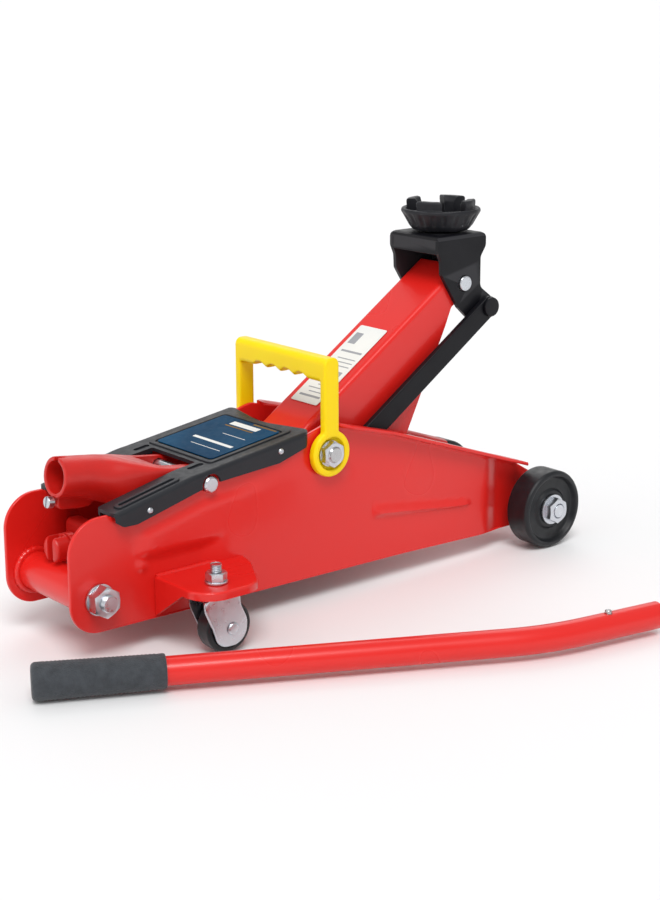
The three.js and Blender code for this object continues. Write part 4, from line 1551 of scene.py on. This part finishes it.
def saddle():
    """A cup with a fluted side and four prongs standing inside its rim."""
    low, high = span("saddle")
    plate, teeth = BRACKET_HIGH.z, high.z
    rim = teeth - 8
    rim_radius = (high.x - low.x) / 2
    base_radius = rim_radius - 6
    flutes, depth = 20, 0.9
    side = zip(np.linspace(base_radius, rim_radius, 7), np.linspace(plate + 5, rim - 1, 7))
    cup = [
        (0, low.z),
        (8, low.z, 1),
        (8, plate + GAP),
        (13, plate + GAP),
        (base_radius - 3, plate + 1.5, 2),
        *side,
        (rim_radius - 0.6, rim + 1.5, 1),
        (rim_radius - 4, rim + 1, 1),
        (base_radius - 1, rim - 6, 2),
        (0, rim - 6),
    ]
    body = lathe("z", cup, sides=240)
    for vertex in body.data.vertices:
        x, y, z = vertex.co
        reach = math.hypot(x, y)
        on_side = float(ease(z, plate + 4, plate + 7) * (1 - ease(z, rim - 4, rim - 1)))
        if reach > base_radius - 1.5 and on_side > 0:
            share = 1 - depth * on_side * max(0, math.cos(flutes * math.atan2(y, x))) / reach
            vertex.co.x, vertex.co.y = x * share, y * share
    wall = [
        (rim_radius - 13, rim - 7, 0.5),
        (rim_radius - 5, rim - 7, 0.5),
        (rim_radius - 4, teeth, 1.6),
        (rim_radius - 10.5, teeth, 1.8),
        (rim_radius - 13, teeth - 4, 1.5),
    ]
    prongs = lathe("z", wall, sides=96)
    for turn in (0, 90):
        gap = slab("z", oblong(-50, -9.5, 50, 9.5), rim - 7.5, teeth + 5, edge=0.2)
        cut(prongs, move(gap, Matrix.Rotation(math.radians(turn), 4, "Z")))
    cast(join(body, prongs), 0.6, 2)
    matrix = Matrix.Translation((TIP.x, 0, 0)) @ Matrix.Rotation(math.radians(-20), 4, "Z")
    place(body, "saddle_cup", SADDLE, "saddle", "saddle", matrix)


saddle()

# ---- carry handle ----


def carry_handle():
    """Two legs with round eyes, and a grip with four finger scallops."""
    low, high = span("carry_handle")
    top, outer = high.z - PIVOT.z, high.y
    inner, under, half, eye = outer - 6, top - 18, 6.75, PIVOT.z - low.z
    leg = [(-half, 0), (half, 0), (half, top, 5), (-half, top, 5)]
    strap = join(
        slab("y", leg, -outer, -inner, edge=1.3),
        lathe("y", [(0, -outer), (eye, -outer, 1.4), (eye, -inner, 1.2), (0, -inner)], sides=80),
    )
    recess = rod("y", 12, -outer - 1, -outer + 4)
    cut(strap, recess, rod("y", PIVOT_HOLE, -outer - 1, -inner + 1))
    other = copy(strap, MIRROR)
    bar = [(-half, under, 4), (half, under, 4), (half, top, 5), (-half, top, 5)]
    body = join(strap, other, slab("y", bar, 1 - outer, outer - 1, edge=1))
    finger, scallop = 16, 9
    for k in (-1.5, -0.5, 0.5, 1.5):
        cut(body, rod("x", scallop, -20, 20, (0, finger * k, under - scallop / 2)))
    cast(body, 0.8, 4)
    matrix = Matrix.Translation((0, 0, PIVOT.z))
    place(body, "yellow_handle", YELLOW, "carry_handle", "carry_handle", matrix)


carry_handle()

# ---- pump bar ----

BAR_RADIUS, BAR_WALL = 9.5, 1.6
GRIP_LENGTH, GRIP_RADIUS = 85, 12.5
STRAIGHT, BENT = math.radians(-28.2), math.radians(-10.2)
BEND_AT, BENT_LENGTH, BEND_REACH = 341, 93, 30
BAR_PLACE = (
    Matrix.Translation((-264, -71, GRIP_RADIUS))
    @ Matrix.Rotation(STRAIGHT, 4, "Z")
)


def pump_bar():
    """One pipe with a bend, and the button that locks it in the socket."""
    turn = Vector((math.cos(BENT - STRAIGHT), math.sin(BENT - STRAIGHT), 0))
    corner = Vector((BEND_AT, 0, 0))
    before, after = corner - Vector((BEND_REACH, 0, 0)), corner + turn * BEND_REACH
    end = corner + turn * BENT_LENGTH
    bend = [before * (1 - t) ** 2 + corner * 2 * t * (1 - t) + after * t * t for t in np.linspace(0, 1, 24)]
    inner = BAR_RADIUS - BAR_WALL
    pipe = sweep([Vector((4, 0, 0))] + bend + [end], ring(BAR_RADIUS, sides=64))
    bore = sweep([Vector((2, 0, 0))] + bend + [end + turn * 3], ring(inner, sides=64))
    spot = corner + turn * 50
    cut(pipe, bore, rod("z", 2.85, 0, 20, spot))
    bevel(pipe, 0.4, angle=50)
    place(pipe, "bar_pipe", RED, "pump_bar", "handle_pipe", BAR_PLACE)
    tip = BAR_RADIUS + 2.2
    pin = lathe("z", [(0, inner), (2.5, inner), (2.5, tip, 1.2), (0, tip)], sides=40, at=spot)
    place(pin, "bar_detent", STEEL, "pump_bar", "handle_detent", BAR_PLACE)


def bar_grip():
    """A foam sleeve, slightly tapered, with a rounded end and shallow rings."""
    outline = [(0, 0), (GRIP_RADIUS - 0.2, 0, 3)]
    for along in np.arange(8, GRIP_LENGTH - 5, 2.6):
        radius = GRIP_RADIUS - along / GRIP_LENGTH
        outline += [(radius, along), (radius - 0.28, along + 1.3)]
    end, bore = GRIP_RADIUS - 1, BAR_RADIUS + GAP
    outline += [(end, GRIP_LENGTH - 2), (end - 0.3, GRIP_LENGTH, 0.8), (bore, GRIP_LENGTH, 0.4)]
    outline += [(bore, 3), (0, 3)]
    place(lathe("x", outline, sides=80), "bar_grip", FOAM, "pump_bar", "handle_grip", BAR_PLACE)


pump_bar()
bar_grip()

# ---- floor, light and camera ----


def floor():
    paint = Paint("studio_floor", "floor", (0.86, 0.86, 0.865), 0.7)
    paint.mottle((0.84, 0.84, 0.85), 0.3, 3)
    paint.grain(0.00002, 60, 3)
    reach, drop = 60, -0.0006
    corners = [(-reach, -reach, drop), (reach, -reach, drop), (reach, reach, drop), (-reach, reach, drop)]
    mesh = bpy.data.meshes.new("studio_floor")
    mesh.from_pydata(corners, [], [(0, 1, 2, 3)])
    mesh.materials.append(paint.material)
    sheet = bpy.data.objects.new("studio_floor", mesh)
    bpy.context.scene.collection.objects.link(sheet)


def soft_sun(name, towards, strength, spread):
    """Even light from one side of the studio; spread is how wide the lamp looks, in degrees."""
    light = bpy.data.lights.new(name, "SUN")
    light.energy = strength
    light.angle = math.radians(spread)
    lamp = bpy.data.objects.new(name, light)
    lamp.rotation_euler = (-Vector(towards)).to_track_quat("-Z", "Y").to_euler()
    bpy.context.scene.collection.objects.link(lamp)


def studio():
    """A soft room whose walls are as pale as the floor just above the horizon."""
    floor()
    world = bpy.data.worlds.new("studio")
    world.use_nodes = True
    nodes, links = world.node_tree.nodes, world.node_tree.links
    ahead = nodes.new("ShaderNodeTexCoord").outputs["Generated"]
    parts = nodes.new("ShaderNodeSeparateXYZ")
    links.new(ahead, parts.inputs["Vector"])
    glow = nodes.new("ShaderNodeMapRange")
    links.new(parts.outputs["Z"], glow.inputs["Value"])
    for socket, number in zip(("From Min", "From Max", "To Min", "To Max"), (0.02, 0.25, 1.0, 0.5)):
        glow.inputs[socket].default_value = number
    links.new(glow.outputs["Result"], nodes["Background"].inputs["Strength"])
    nodes["Background"].inputs["Color"].default_value = (1, 1, 1, 1)
    bpy.context.scene.world = world
    bpy.context.scene.view_settings.view_transform = "Standard"
    soft_sun("key", (-0.4, -0.55, 1), 1.9, 28)
    soft_sun("fill", (-1, 0.2, 0.6), 0.5, 60)
    soft_sun("rim", (0.6, 0.7, 0.8), 0.5, 40)


def camera():
    azimuth, height, roll = math.radians(-40.3), math.radians(14.27), math.radians(-0.13)
    target = ORIGIN + Vector((49.4, 0, 115.4)) * MM
    distance = 1.355
    back = Vector((
        math.sin(azimuth) * math.cos(height),
        -math.cos(azimuth) * math.cos(height),
        math.sin(height),
    ))
    lens = bpy.data.cameras.new("view")
    lens.lens = 72
    lens.sensor_width = 36
    lens.shift_x = -0.0084
    lens.shift_y = -0.0312
    eye = bpy.data.objects.new("view", lens)
    turn = (-back).to_track_quat("-Z", "Y")
    spot = target + back * distance
    eye.matrix_world = Matrix.LocRotScale(spot, turn, None) @ Matrix.Rotation(roll, 4, "Z")
    bpy.context.scene.collection.objects.link(eye)
    bpy.context.scene.camera = eye


studio()
camera()
